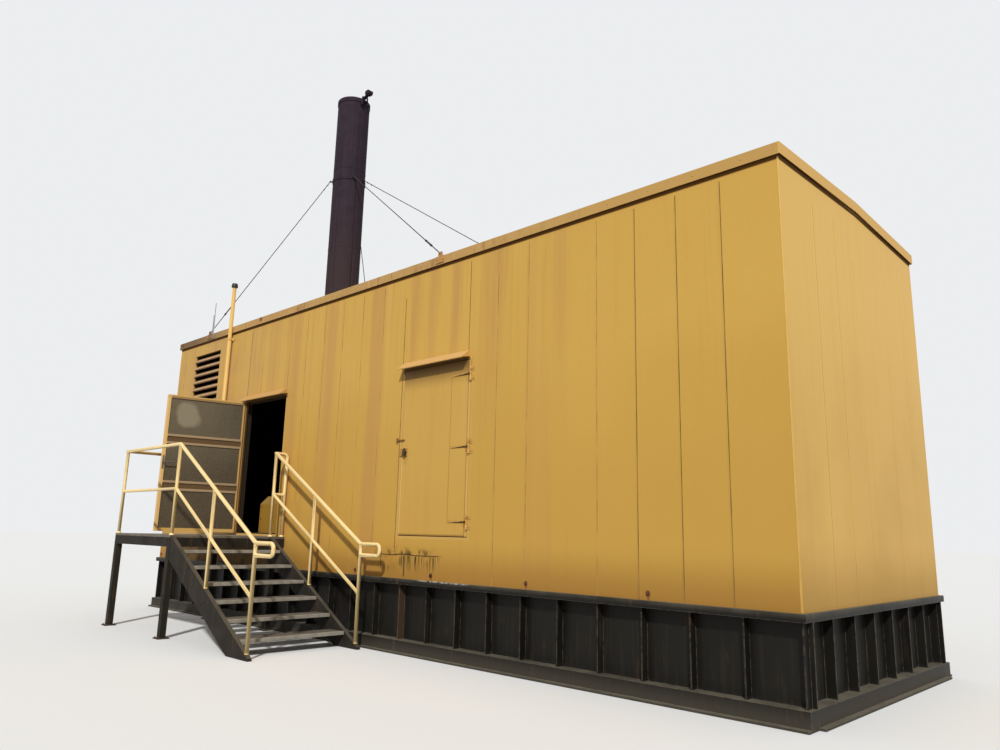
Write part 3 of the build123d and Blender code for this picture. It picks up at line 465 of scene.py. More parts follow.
long_drip = wall_coat.times(
    wall_coat.band(wavering, 1.045, 1.055, 0.012),
    wall_coat.band("Z", wall_foot + 0.04, sill_line, 0.03),
    on_front,
)
wall_coat.coat(long_drip, mould_black, 0.85, 0.85)
mould = wall_coat.times(
    wall_coat.band(level_here, sill_line, sill_line + 0.002, 0.12),
    wall_coat.fade(level_here, sill_line - 0.01, sill_line),
    wall_coat.fade(wall_coat.noise(9.0, 4.0, 0.65), 0.44, 0.64),
    sill_zone,
)
wall_coat.coat(mould, mould_black, 0.85, 0.85)

# Rust runs from the bolts that hold the foot of each long wall.
bolt_pitch = 1.471
bolt_level = 0.91
first_bolt = 0.068
from_bay = wall_coat.maths("SUBTRACT", along, first_bolt - bolt_pitch / 2)
in_bay = wall_coat.maths("FLOORED_MODULO", from_bay, bolt_pitch)
from_bolt = wall_coat.maths("SUBTRACT", in_bay, bolt_pitch / 2)
beside_bolt = node(wall_coat.tree, "ShaderNodeCombineXYZ", {"X": from_bolt, "Z": wall_z}).outputs[0]
bolt_bleed = wall_coat.group(bleed, place=beside_bolt, centre=(0.0, 0.0, bolt_level), reach=0.03, drop=0.08)
wall_coat.coat(bolt_bleed, rust_brown, 0.8, 0.85)
# Painted shade under the landing deck, with grime: the wall below it is dark brown.
deck_shade_and_grime = wall_coat.times(wall_coat.band("X", -5.0, -1.9, 0.15), wall_coat.fade("Z", 1.24, 1.16), on_front)
wall_coat.coat(deck_shade_and_grime, (66, 50, 28), 0.85, 0.85)
on_ends = wall_coat.fade(wall_coat.maths("ABSOLUTE", along), end_x - 0.002, end_x - 0.0005)
end_tones(wall_coat, on_ends)
# Painted shade: the inner faces are black for the dark room inside.
inner_depth = 0.06
from_middle = wall_coat.maths("ABSOLUTE", wall_coat.axis("Y"))
inside = wall_coat.fade(from_middle, -front_y - inner_depth + 0.02, -front_y - inner_depth)
off_ends = wall_coat.fade(wall_coat.maths("ABSOLUTE", along), end_x - 0.001, end_x - 0.003)
wall_coat.coat(wall_coat.times(inside, off_ends), room_shade_black, 1.0, 0.9)
wall_finish = wall_coat.done()
front_parts = ("left", "over_entry", "under_entry", "middle", "over_access", "under_access", "right")
dress(wall_finish, *[f"front_wall_{part}" for part in front_parts], "rear_wall")

end_coat = yellow_coat("end_wall_yellow")
end_tones(end_coat, 1.0)
# Painted shade: the ends' inner faces are black as well.
end_depth = end_coat.maths("ABSOLUTE", end_coat.axis("X"))
inside = end_coat.fade(end_depth, end_x - inner_depth + 0.02, end_x - inner_depth)
end_coat.coat(inside, room_shade_black, 1.0, 0.9)
dress(end_coat.done(), "right_end_wall", "left_end_wall")


# Wall seams: each sheet laps over the next, which leaves a thin raised lip along the joint in the wall's own
# paint, with a fine dark line of dirt in the step beside it. On some joints the line has almost gone.
def add_mesh(name, kind, **settings):
    """A new primitive as the only thing selected, to be shaped."""
    bpy.ops.object.select_all(action="DESELECT")
    getattr(bpy.ops.mesh, f"primitive_{kind}_add")(**settings)
    piece = bpy.context.active_object
    piece.name = name
    bpy.ops.object.transform_apply(location=True, rotation=True, scale=True)
    return piece


def edit(piece, chosen=None):
    """Open a piece in edit mode with the corners selected that lie where the test says, or all of them."""
    bpy.ops.object.select_all(action="DESELECT")
    piece.select_set(True)
    bpy.context.view_layer.objects.active = piece
    bpy.ops.object.mode_set(mode="EDIT")
    bpy.ops.mesh.select_mode(type="VERT")
    bpy.ops.mesh.select_all(action="SELECT" if chosen is None else "DESELECT")
    if chosen is not None:
        bpy.ops.object.mode_set(mode="OBJECT")
        for corner in piece.data.vertices:
            corner.select = chosen(corner.co)
        bpy.ops.object.mode_set(mode="EDIT")


def pull(piece, chosen, offset):
    """Move the corners that lie where the test says."""
    edit(piece, chosen)
    bpy.ops.transform.translate(value=offset)
    bpy.ops.object.mode_set(mode="OBJECT")


def shape(piece, kind, **settings):
    """Add a modifier and apply it."""
    bpy.ops.object.select_all(action="DESELECT")
    piece.select_set(True)
    bpy.context.view_layer.objects.active = piece
    modifier = piece.modifiers.new(kind.lower(), kind)
    for key, value in settings.items():
        setattr(modifier, key, value)
    bpy.ops.object.modifier_apply(modifier=modifier.name)


def join_pieces(name, pieces):
    """Join pieces into one object."""
    bpy.ops.object.select_all(action="DESELECT")
    for piece in pieces:
        piece.select_set(True)
    bpy.context.view_layer.objects.active = pieces[0]
    if len(pieces) > 1:
        bpy.ops.object.join()
    joined = bpy.context.active_object
    joined.name = name
    return joined


def copied(pattern, name):
    """A copy of a piece, with its own mesh."""
    copy = bpy.data.objects.new(name, pattern.data.copy())
    bpy.context.scene.collection.objects.link(copy)
    return copy


def set_out(pattern, name, places):
    """Copy one modelled piece to each place, given as a matrix, and join the copies."""
    copies = [copied(pattern, name) for _ in places]
    for copy, place in zip(copies, places):
        copy.data.transform(place)
    bpy.data.objects.remove(pattern)
    return join_pieces(name, copies)


def belongs(piece, slot, *finishes, body="housing"):
    """Give a finished piece its body and, unless it has them already, its finishes. The slot is not used."""
    if finishes:
        piece.data.materials.clear()
        for finish in finishes:
            piece.data.materials.append(finish)
    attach(piece, body)


def fit(pattern, name, places, slot, *finishes, body="housing"):
    """Set out a modelled piece and give the copies their body and finishes."""
    belongs(set_out(pattern, name, places), slot, *finishes, body=body)


def moved(x, y, z):
    """A shift, in metres."""
    return Matrix.Translation((x, y, z))


def turned(angle, axis="Z"):
    """A turn about an axis through the origin."""
    return Matrix.Rotation(angle, 4, axis)


front = moved(0, front_y, 0)
rear = turned(math.pi) @ front
right_end = moved(end_x, 0, 0) @ turned(math.pi / 2)
left_end = moved(-end_x, 0, 0) @ turned(-math.pi / 2)
seam_pitch = 0.466
seam_head = wall_head - 0.055
seam_top = seam_head - 0.07
last_seam = 5.315
seam_columns = ((-0.013, 0.0004), (-0.010, 0.0022), (-0.001, 0.0022), (0.0, 0.0006), (0.008, 0.0006))


def model_seam(lip, dirt):
    """One lap, a metre long: a raised lip and the line of dirt beside it, each in its own finish."""
    seam = add_mesh("seam", "grid", x_subdivisions=4, y_subdivisions=2, size=1, rotation=(math.pi / 2, 0, 0))
    for column, (across, depth) in enumerate(seam_columns):
        start = column / 4 - 0.5
        pull(seam, lambda corner: abs(corner.x - start) < 0.01, (across - start, -depth, 0))
    shape(seam, "SOLIDIFY", thickness=0.004, offset=-1)
    seam.data.materials.append(lip)
    seam.data.materials.append(dirt)
    for face in seam.data.polygons:
        face.material_index = int(face.center.x > -0.0008)
    return seam


def seam_places(wall, runs):
    """A matrix for each seam, which runs from one height to another at a place along its wall."""
    return [
        wall @ moved(across, 0, (foot + head) / 2) @ Matrix.Diagonal((1, 1, head - foot, 1))
        for across, foot, head in runs
    ]


hood_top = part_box("access_hood")[1].z
dark_runs = [(last_seam - seam_pitch * row, wall_foot, seam_top) for row in range(3)]
dark_runs += [(0.843, wall_foot + 0.35, seam_head - 0.3)]
dark_runs += [(-3.175, wall_foot, seam_top), (2.053, hood_top, seam_top)]
faint_runs = [(across, wall_foot, seam_top) for across in (3.917, 2.985, 2.519, -5.641)]
faint_runs += [(across, hood_top, seam_top) for across in (-1.961, -2.751)]
faint_runs += [(-1.95 + seam_pitch * row, wall_foot, seam_top) for row in range(1, 6)]
end_dark = [(across, wall_foot, seam_head - 0.2) for across in (-1.115, -0.62, 1.28)]
end_faint = [(across, wall_foot, seam_head - 0.5) for across in (-0.15, 0.71)]
rear_runs = [(-last_seam + seam_pitch * row, wall_foot, seam_head) for row in range(24)]
groups = {
    "wall_seams_dark": (dark_runs, rear_runs, end_dark, (102, 72, 32), 0.3),
    "wall_seams_faint": (faint_runs, [], end_faint, (146, 106, 50), 0.7),
}
for seams_name, (front_runs, back_runs, end_runs, line_colour, worn_away) in groups.items():
    places = seam_places(front, front_runs) + seam_places(rear, back_runs)
    places += seam_places(right_end, end_runs) + seam_places(left_end, end_runs)
    seam_line = Finish(seams_name, line_colour, 0.75)
    seam_line.weather(mottle, gold, worn_away, patch=0.3, contrast=4.0)
    seam_line.weather(mottle, rosy_brown, worn_away * 0.5, patch=0.04, contrast=4.0)
    fit(model_seam(wall_finish, seam_line.done()), seams_name, places, "housing_yellow")


# Corner covers: a folded strip closes each upright corner of the housing, rounded at its edge, where the
# brush and the weather have left it paler than the walls.
def add_box(name, low, high):
    """A box between two corners."""
    low, high = Vector(low), Vector(high)
    return add_mesh(name, "cube", size=1, location=(low + high) / 2, scale=high - low)


def soften(piece, width, segments=2):
    """Take the sharpness off a piece's edges."""
    shape(piece, "BEVEL", width=width, segments=segments, limit_method="ANGLE")


def smooth(degrees):
    """Shade the chosen piece smooth, up to a crease angle."""
    bpy.ops.object.shade_smooth_by_angle(angle=math.radians(degrees))


cover_leg = 0.018
cover_sheet = 0.002
cover = add_box("corner", (-cover_leg, -cover_sheet, wall_foot), (cover_sheet, cover_leg, seam_head))
soften(cover, 0.009, 4)
corners = []
for turn in range(4):
    side_x = end_x if turn < 2 else -end_x
    side_y = front_y if turn in (0, 3) else -front_y
    corners.append(moved(side_x, side_y, 0) @ turned(turn * math.pi / 2))
corner_covers = set_out(cover, "corner_covers", corners)
smooth(40)
cover_coat = yellow_coat("corner_cover_yellow", (204, 163, 84), 0.4, 0.4)
cover_coat.tint("Z", 2.2, 0.9, deep_gold, 0.5)
cover_coat.weather(mottle, (214, 174, 98), 0.4, patch=0.12, contrast=3.5)
belongs(corner_covers, "housing_yellow", cover_coat.done())


# Foot bolts: rusty hexagon heads on washers hold the foot of each long wall to the base, one at every third
# stiffener, with one more beside the access doorway.
def add_round(name, sides, radius, depth, location=(0, 0, 0), rotation=(math.pi / 2, 0, 0)):
    """A round or many-sided bar, which stands out along -Y unless it is turned."""
    return add_mesh(
        name, "cylinder", vertices=sides, radius=radius, depth=depth, location=location, rotation=rotation
    )


def model_bolt(across, rise):
    """A hexagon head on its washer, standing out along -Y."""
    washer = add_round("bolt", 12, across * 0.8, rise * 0.3)
    head = add_round("head", 6, across / 2, rise, (0, -rise / 2, 0))
    soften(head, across * 0.07, 1)
    return join_pieces("bolt", [washer, head])


def spots(wall, points, out=0.0):
    """A matrix for each point of a wall, given along it and up it, and standing out from it."""
    return [wall @ moved(across, -out, up) for across, up in points]


bolt_count = int(2 * end_x / bolt_pitch)
bolt_row = [first_bolt + bolt_pitch * step for step in range(-bolt_count // 2, bolt_count // 2 + 1)]
bolt_row = [place for place in bolt_row if abs(place) < end_x - 0.05]
sill_bolt = 1.532
foot_places = spots(front, [(place, bolt_level) for place in (*bolt_row, sill_bolt)])
foot_places += spots(rear, [(-place, bolt_level) for place in bolt_row])
rusty_steel = Finish("rusty_steel", (92, 58, 38), 0.75, 0.2)
rusty_steel.weather(mottle, (60, 38, 28), 0.7, patch=0.02, contrast=4.0)
rusty_steel.weather(mottle, (128, 78, 46), 0.5, patch=0.006, contrast=4.0)
rusty_steel.relief(rusty_steel.noise(400.0, 4.0), 0.0004)
rust_finish = rusty_steel.done()
fit(model_bolt(0.03, 0.014), "wall_foot_bolts", foot_places, "base_black", rust_finish)

# Roof and its edge trim: a low gable of dusty yellow sheet, lapped across its length. The folded trim round
# the edge has gone pinkish brown, less so towards the right end, with rust spots at its fixings.
roof_coat = yellow_coat("roof_yellow", (186, 154, 96), 0.6, 0.2, 0.65)
roof_coat.weather(dust, (158, 140, 110), 0.6, 0.85, cover=1.0)
roof_coat.weather(mottle, (140, 112, 78), 0.35, patch=0.5, contrast=3.5)
roof_finish = roof_coat.done()
dress(roof_finish, "roof")
trim_low, trim_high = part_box("roof_trim_front")
trim_y = trim_low.y
trim_coat = Finish("trim_faded", (182, 143, 84), 0.65, gloss=0.2)
trim_coat.weather(mottle, (164, 126, 74), 0.6, patch=0.4, contrast=3.0)
trim_coat.weather(mottle, (196, 160, 110), 0.3, patch=0.06, contrast=3.5)
trim_coat.weather(streaks, (130, 92, 60), 0.5, 0.8, width=0.09, length=0.6, cover=0.4)
trim_coat.tint("X", -3.5, -5.5, (98, 74, 50), 0.85)
trim_coat.tint("X", 1.2, 4.6, (186, 147, 82), 0.9, 0.5)
trim_coat.tint("X", end_x + 0.01, end_x + 0.02, (216, 170, 90), 0.8, 0.5)
for rust_x in (-5.797, -4.754, -2.90, 1.51):
    fixing = (rust_x, trim_y, trim_high.z - 0.02)
    trim_coat.weather(bleed, rust_brown, 0.85, 0.9, centre=fixing, reach=0.06, drop=0.07)
trim_coat.weather(edges, (208, 174, 120), 0.45, radius=0.006, wear=0.7)
trim_coat.relief(trim_coat.noise(30.0, 3.0), 0.0008)
trim_finish = trim_coat.done()
dress(trim_finish, "roof_trim_front", "roof_trim_rear", "roof_trim_left", "roof_trim_right")

eave_z = trim_high.z
ridge_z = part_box("roof")[1].z
pitch_angle = math.atan2(ridge_z - eave_z, -front_y)
slope_length = math.hypot(ridge_z - eave_z, front_y)
lap_bays = 12
lap_places = []
for side, turn in ((1, 0.0), (-1, math.pi)):
    for row in range(1, lap_bays):
        start = moved(-end_x + row * 2 * end_x / lap_bays, side * front_y, eave_z + 0.0005) @ turned(turn)
        lie = turned(pitch_angle - math.pi / 2, "X") @ moved(0, 0, slope_length / 2)
        lap_places.append(start @ lie @ Matrix.Diagonal((2.5, 1, slope_length - 0.03, 1)))
stack_low, stack_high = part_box("stack_curb")
lap_places = [place for place in lap_places if not stack_low.x < place.translation.x < stack_high.x]
fit(model_seam(roof_finish, trim_finish), "roof_laps", lap_places, "housing_yellow")

# Trim joints and screws: a short cover plate over each butt joint of the trim, and a row of pan head screws
# that hold the trim. Both are painted with it.
joint_pitch = 2.94
joint_width = 0.05
joint_drop = 0.105
joint = add_box(
    "joint",
    (-joint_width / 2, trim_y - 0.002, trim_high.z - joint_drop),
    (joint_width / 2, trim_y + 0.004, trim_high.z - 0.003),
)
soften(joint, 0.002)
joint_xs = (-joint_pitch, 0, joint_pitch)
joint_places = [turned(turn) @ moved(x, 0, 0) for turn in (0, math.pi) for x in joint_xs]
fit(joint, "trim_joints", joint_places, "housing_yellow", trim_finish)


def model_screw(radius):
    """A pan head screw, standing out along -Y."""
    screw = add_round("screw", 12, radius, radius)
    soften(screw, radius * 0.3)
    return screw


screw_pitch = 0.49
screw_points = [(step * screw_pitch + 0.16, trim_high.z - 0.055) for step in range(-11, 12)]
screw_places = [place for wall in (front, rear) for place in spots(wall, screw_points, front_y - trim_y)]
fit(model_screw(0.008), "trim_screws", screw_places, "housing_yellow", trim_finish)

# Louvre: folded rain blades in a thin rim. Their upright lips catch the light and are dusty cream. Between
# them the blades are painted dark brown, as the shade of the dark room behind.
blade_pitch = 0.132
louvre_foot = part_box("louvre_blades")[0].z
louvre_coat = yellow_coat("louvre_dusty", (190, 158, 118), 0.4, 0.3, 0.6)
louvre_coat.weather(mottle, (166, 130, 92), 0.5, patch=0.12, contrast=3.0)
louvre_coat.weather(dust, (112, 88, 64), 0.6, 0.85, cover=1.0)
up_louvre = louvre_coat.maths("SUBTRACT", louvre_coat.axis("Z"), louvre_foot)
up_blade = louvre_coat.maths("FLOORED_MODULO", up_louvre, blade_pitch)
# Painted shade: the foot of each blade, under the one above, and the depth of the louvre.
louvre_coat.tint(up_blade, 0.026, 0.016, (74, 44, 24), 0.9, 0.85)
louvre_coat.tint("Y", front_y + 0.008, front_y + 0.03, (64, 34, 18), 0.95)
louvre_coat.weather(edges, (196, 166, 124), 0.4, radius=0.004, wear=0.6)
dress(louvre_coat.done(), "louvre_blades")
frame_coat = yellow_coat("frame_yellow", (196, 156, 84), 0.4, 0.5)
frame_coat.weather(edges, (218, 180, 108), 0.35, radius=0.005, wear=0.8)
# Painted shade: the back of each frame, towards the dark room, is near black.
frame_back = frame_coat.fade("Y", front_y + 0.022, front_y + 0.042)
frame_coat.coat(frame_back, (20, 15, 11), 0.97, 0.9)
# Painted shadow of the hoods: the head of each door frame, under its hood, is dark brown.
hood_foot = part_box("entry_hood")[0].z
at_doors = frame_coat.band("X", -3.5, 2.08, 0.01)
hood_shadow_band = frame_coat.fade("Z", hood_foot - 0.06, hood_foot - 0.03)
frame_coat.coat(frame_coat.times(hood_shadow_band, at_doors), (84, 56, 26), 0.85, 0.8)
frame_finish = frame_coat.done()
dress(frame_finish, "louvre_frame", "entry_frame", "access_frame")

# Drip hoods: folded sheet over each door, screwed to the wall along its back. The paint has faded to soft
# orange on top, where the sun falls on it, and the underside is painted dark brown as its shade.
hood_coat = yellow_coat("hood_yellow", (192, 150, 84), 0.3, 0.3)
hood_coat.weather(dust, (196, 154, 98), 0.85, 0.6, cover=1.0)
hood_coat.tint("X", 0.0, -1.0, (166, 126, 74), 0.5)
# Painted shade: the faces that look down are dark brown.
underside_shade = hood_coat.fade(parted(hood_coat.tree, normal(hood_coat.tree))["Z"], -0.2, -0.6)
hood_coat.coat(underside_shade, (92, 62, 30), 0.85, 0.8)
hood_coat.weather(edges, (210, 172, 112), 0.5, radius=0.004, wear=0.9)
hood_finish = hood_coat.done()
dress(hood_finish, "entry_hood", "access_hood")
hood_margin = 0.1
screw_rise = 0.014
hood_points = []
for hood in ("entry_hood", "access_hood"):
    low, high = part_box(hood)
    hood_pitch = (high.x - low.x - 2 * hood_margin) / 4
    hood_points += [(low.x + hood_margin + step * hood_pitch, high.z + screw_rise) for step in range(5)]
fit(model_screw(0.007), "hood_screws", spots(front, hood_points), "housing_yellow", hood_finish)

# Entry door: the leaf stands open and shows its inner side, yellow at its stiles and pinkish brown on the
# thin rails, round three panels of dirty olive-grey lining that small screws hold.
hinge_point = Vector((-3.166, -1.827, 0))
open_turn = math.radians(-102)
leaf = Matrix.Translation(hinge_point) @ turned(open_turn)
leaf_coat = yellow_coat("entry_leaf_yellow", (196, 156, 88), 0.5, 0.6)
liner_low, liner_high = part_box("entry_door_lining")
leaf_low, leaf_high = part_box("entry_door")
panel_gap = 0.15
panel_height = (liner_high.z - liner_low.z - 2 * panel_gap) / 3
inward = leaf.to_3x3() @ Vector((0, 1, 0))
inner_from = inward.dot(hinge_point) + 0.02
depth = vectors(leaf_coat.tree, "DOT_PRODUCT", leaf_coat.place, inward[:])["Value"]
inner_side = leaf_coat.fade(depth, inner_from, inner_from + 0.005)
across_panel = leaf_coat.times(inner_side, leaf_coat.band("Y", liner_low.y, liner_high.y, 0.004))
for row in (1, 2):
    rail_middle = liner_low.z + row * panel_height + (row - 0.5) * panel_gap
    rail_band = leaf_coat.band("Z", rail_middle - panel_gap / 2, rail_middle + panel_gap / 2, 0.003)
    groove = leaf_coat.band("Z", rail_middle - 0.04, rail_middle + 0.04, 0.002)
    leaf_coat.coat(leaf_coat.times(rail_band, across_panel), (147, 125, 98), 0.9, 0.6)
    leaf_coat.coat(leaf_coat.times(groove, across_panel), (81, 58, 29), 0.9, 0.7)
hinge_stile = leaf_coat.fade("Y", liner_high.y + 0.010, liner_high.y + 0.016)
leaf_coat.coat(leaf_coat.times(inner_side, hinge_stile), (145, 108, 70), 0.85, 0.7)
# Painted shadow: a dark line down the hinge stile beside the lining.
stile_shadow_line = leaf_coat.band("Y", liner_high.y + 0.014, liner_high.y + 0.028, 0.003)
leaf_coat.coat(leaf_coat.times(inner_side, stile_shadow_line), (92, 56, 18), 0.85, 0.7)
top_rail = leaf_coat.band("Z", liner_high.z, leaf_high.z - 0.02, 0.003)
leaf_coat.coat(leaf_coat.times(inner_side, top_rail), (132, 104, 70), 0.85, 0.6)
free_stile = leaf_coat.band("Y", leaf_low.y + 0.02, liner_low.y, 0.003)
leaf_coat.coat(leaf_coat.times(inner_side, free_stile), (208, 170, 114), 0.7, 0.6)
free_edge = leaf_coat.fade("Y", leaf_low.y + 0.02, leaf_low.y + 0.012)
leaf_coat.coat(free_edge, (226, 186, 122), 0.85)
leaf_coat.weather(edges, (226, 190, 128), 0.6, radius=0.005, wear=0.8)
dress(leaf_coat.done(), "entry_door")

lining = Finish("lining_grey", (94, 84, 63), 0.5)
lining.weather(mottle, (80, 69, 49), 0.7, patch=0.5, contrast=2.5)
lining.tint("Z", 2.75, 2.1, (64, 50, 31), 0.8)
lining.tint("Y", liner_low.y + 0.4, liner_high.y, (64, 51, 32), 0.5)
lining.weather(streaks, (82, 74, 60), 0.4, 0.6, width=0.05, length=0.9, cover=0.3)
lining.weather(mottle, (120, 112, 94), 0.25, patch=0.02, contrast=3.0)
blotch_centre = (leaf_low.x * 0.5 + leaf_high.x * 0.5, liner_low.y + 0.27, liner_high.z - 0.24)
from_blotch = vectors(lining.tree, "SUBTRACT", lining.place, blotch_centre)[0]
flattened = vectors(lining.tree, "MULTIPLY", from_blotch, (0.3, 1.0, 0.95))[0]
distance = vectors(lining.tree, "LENGTH", flattened)["Value"]
ragged = lining.maths("MULTIPLY_ADD", lining.noise(5.0, 3.0), 0.16, -0.08)
blotch = lining.fade(lining.maths("ADD", distance, ragged), 0.22, 0.13)
lining.coat(blotch, (136, 125, 103), 0.8, 0.4)
lining.relief(lining.group(mottle, patch=0.35, contrast=2.0), 0.004)
dress(lining.done(), "entry_door_lining")

worn_steel = Finish("worn_steel", (122, 120, 116), 0.4, 0.9)
worn_steel.weather(mottle, (84, 80, 74), 0.6, 0.6, patch=0.03, contrast=3.5)
worn_steel.relief(worn_steel.noise(300.0, 3.0), 0.0002)
steel_finish = worn_steel.done()
dress(steel_finish, "entry_door_handle")

liner_depth = 0.048
screw_margin = 0.025
liner_edge = 0.054
liner_width = 1.104
screws_left = liner_edge + screw_margin
screws_right = liner_edge + liner_width - screw_margin
step_along = (screws_right - screws_left) / 5
liner_screws = []
for row in range(3):
    foot = liner_low.z + row * (panel_height + panel_gap) + screw_margin
    head = foot + panel_height - 2 * screw_margin
    for across in (screws_left, screws_right):
        liner_screws += [(across, foot + step * (head - foot) / 3) for step in range(4)]
    liner_screws += [(screws_left + step * step_along, up) for step in range(1, 5) for up in (foot, head)]
liner_places = [place @ turned(math.pi) for place in spots(leaf, liner_screws, -liner_depth)]
fit(model_screw(0.006), "lining_screws", liner_places, "handle_steel", steel_finish, body="entry_door")


# Door seals: a strip of black rubber, glued to the stop of each door frame and mitred at its corners. Dust
# has turned it grey in places.
def model_rim(left, right, bottom, top, width, thickness):
    """A flat four-sided rim that stands out along -Y."""
    rim = add_mesh("rim", "plane", size=1, rotation=(math.pi / 2, 0, 0))
    centre = moved((left + right) / 2, 0, (bottom + top) / 2)
    rim.data.transform(centre @ Matrix.Diagonal((right - left, 1, top - bottom, 1)))
    edit(rim)
    bpy.ops.mesh.inset(thickness=width)
    bpy.ops.mesh.delete(type="FACE")
    bpy.ops.object.mode_set(mode="OBJECT")
    shape(rim, "SOLIDIFY", thickness=thickness, offset=1)
    soften(rim, thickness * 0.3)
    return rim


seal_rubber = Finish("seal_rubber", (28, 27, 26), 0.6)
seal_rubber.weather(mottle, (48, 46, 42), 0.6, 0.8, patch=0.05, contrast=3.0)
seal_margin = 0.033
seal_width = 0.014
seal_thickness = 0.004
stop_depth = 0.056
door_seals = []
for frame_name in ("entry_frame", "access_frame"):
    low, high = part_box(frame_name)
    sides = (low.x + seal_margin, high.x - seal_margin)
    levels = (low.z + seal_margin, high.z - seal_margin)
    seal = model_rim(*sides, *levels, seal_width, seal_thickness)
    seal.data.transform(moved(0, front_y + stop_depth, 0))
    door_seals.append(seal)
belongs(join_pieces("door_seals", door_seals), "cap_black", seal_rubber.done())

# Access door: a flush leaf, closed, in the walls' paint. A pale painted highlight runs down its free edge
# below the hasp, the hood's shadow is painted across its head, and it is darker along its foot.
access_coat = yellow_coat("access_yellow", (198, 157, 78), 0.5, 0.2)
access_low, access_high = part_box("access_door")
access_coat.tint("Z", 3.0, 1.4, (190, 148, 68), 0.6)
access_coat.weather(streaks, rosy_brown, 0.15, width=0.1, length=2.6, cover=0.5)
# Painted highlight: a pale line down the free edge, below the hasp.
painted_edge_highlight = access_coat.band("X", access_low.x, access_low.x + 0.008, 0.004)
painted_edge_highlight = access_coat.times(painted_edge_highlight, access_coat.fade("Z", 2.36, 2.3))
access_coat.coat(painted_edge_highlight, (228, 194, 122), 0.7)
access_coat.tint("Z", access_low.z + 0.03, access_low.z, (104, 72, 34), 0.8, 0.8)
# Painted shadow of the hood across the head of the leaf.
access_coat.tint("Z", access_high.z - 0.3, access_high.z, (98, 68, 32), 0.85)
access_coat.coat(access_coat.band("X", access_high.x - 0.037, access_high.x, 0.002), (204, 163, 86), 0.6)
fine_lines = ((access_high.x - 0.040, 0, access_high.z, 0.8), (1.78, 1.52, 3.22, 0.5))
for line_x, line_foot, line_head, strength in fine_lines:
    fine_line = access_coat.band("X", line_x - 0.003, line_x + 0.003, 0.003)
    fine_line = access_coat.times(fine_line, access_coat.band("Z", line_foot, line_head, 0.02))
    access_coat.coat(fine_line, (122, 84, 38), strength, 0.7)
access_levels = (1.525, 2.380, 3.235)
for level in access_levels:
    fixing = (access_high.x - 0.02, front_y, level)
    access_coat.weather(bleed, (128, 84, 46), 0.6, 0.8, centre=fixing, reach=0.05, drop=0.14)
under_hasp = (0.97, front_y, 2.31)
access_coat.weather(bleed, (140, 98, 50), 0.3, 0.8, centre=under_hasp, reach=0.05, drop=0.12)
dress(access_coat.done(), "access_door")


# Hinges, straps and hasp: round knuckles on through pins, with plates bolted to the wall and straps bolted
# to the leaf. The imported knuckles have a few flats; these are the same ones rounded, rusty at their edges.
def rounded(name, slot, finish, *names, body="housing"):
    """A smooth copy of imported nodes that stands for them."""
    copy = join_pieces(name, [copied(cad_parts[packed], name) for packed in names])
    edit(copy)
    bpy.ops.mesh.remove_doubles(threshold=0.0001)
    bpy.ops.object.mode_set(mode="OBJECT")
    smooth(35)
    belongs(copy, slot, finish, body=body)
    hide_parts(*names)
    return copy


hinge_coat = yellow_coat("hinge_yellow", (196, 154, 80), 0.6, 0.5, 0.55)
hinge_coat.weather(mottle, (158, 114, 60), 0.35, 0.75, patch=0.05, contrast=4.0)
hinge_coat.weather(edges, (146, 102, 54), 0.35, 0.8, radius=0.003, wear=0.7)
hinge_finish = hinge_coat.done()
rounded("smooth_hinges", "housing_yellow", hinge_finish, "entry_hinges", "access_hinges")
rounded("smooth_entry_straps", "housing_yellow", hinge_finish, "entry_straps", body="entry_door")
straps = rounded("smooth_access_straps", "housing_yellow", hinge_finish, "access_straps", body="access_door")
worn_thin = 0.0025
pull(straps, lambda corner: corner.x < 2.06 and corner.y < front_y - 0.004, (0, worn_thin, 0))
hasp_coat = yellow_coat("hasp_yellow", (182, 138, 72), 0.5, 0.5, 0.6)
hasp_coat.weather(mottle, (128, 86, 46), 0.5, 0.8, patch=0.03, contrast=4.0)
hasp_coat.tint("Z", 2.44, 2.46, (104, 70, 40), 0.7, 0.8)
hasp_coat.weather(edges, (116, 80, 48), 0.4, radius=0.004, wear=0.9)
dress(hasp_coat.done(), "access_hasp")
lock_coat = Finish("padlock_brown", (96, 74, 48), 0.45, 0.5)
lock_coat.weather(mottle, (62, 48, 36), 0.6, 0.65, patch=0.012, contrast=4.0)
lock_coat.tint("X", 0.972, 0.984, (40, 34, 28), 0.8)
lock_coat.weather(edges, (130, 122, 108), 0.6, 0.35, radius=0.003, wear=1.0)
dress(lock_coat.done(), "padlock")

strap_sheet = 0.005
entry_levels = (1.493, 2.364, 3.235)
pin_x = 2.111
knuckle = 0.057
plate_points = []
for pin, levels, away in ((pin_x, access_levels, 1), (hinge_point.x, entry_levels, -1)):
    for level in levels:
        for up in (level - knuckle, level + knuckle):
            plate_points += [(pin + away * reach, up) for reach in (0.022, 0.045)]
plates = spots(front, plate_points, strap_sheet)
fit(model_bolt(0.014, 0.007), "hinge_plate_bolts", plates, "housing_yellow", hinge_finish)
strap_points = [(pin_x - reach, level) for level in access_levels for reach in (0.06, 0.14, 0.22, 0.30)]
places = spots(front, strap_points, strap_sheet - worn_thin)
strap_bolt = model_bolt(0.011, 0.004)
fit(strap_bolt, "access_strap_bolts", places, "housing_yellow", hinge_finish, body="access_door")
entry_points = [(reach, level) for level in entry_levels for reach in (0.035, 0.08)]
places = spots(leaf, entry_points, strap_sheet - 0.012)
fit(model_bolt(0.013, 0.006), "entry_strap_bolts", places, "housing_yellow", hinge_finish, body="entry_door")
hasp_sheet = 0.011
hasp_places = spots(front, [(0.921, level) for level in (2.3995, 2.3405)], hasp_sheet)
fit(model_bolt(0.013, 0.006), "hasp_bolts", hasp_places, "base_black", rust_finish, body="access_door")

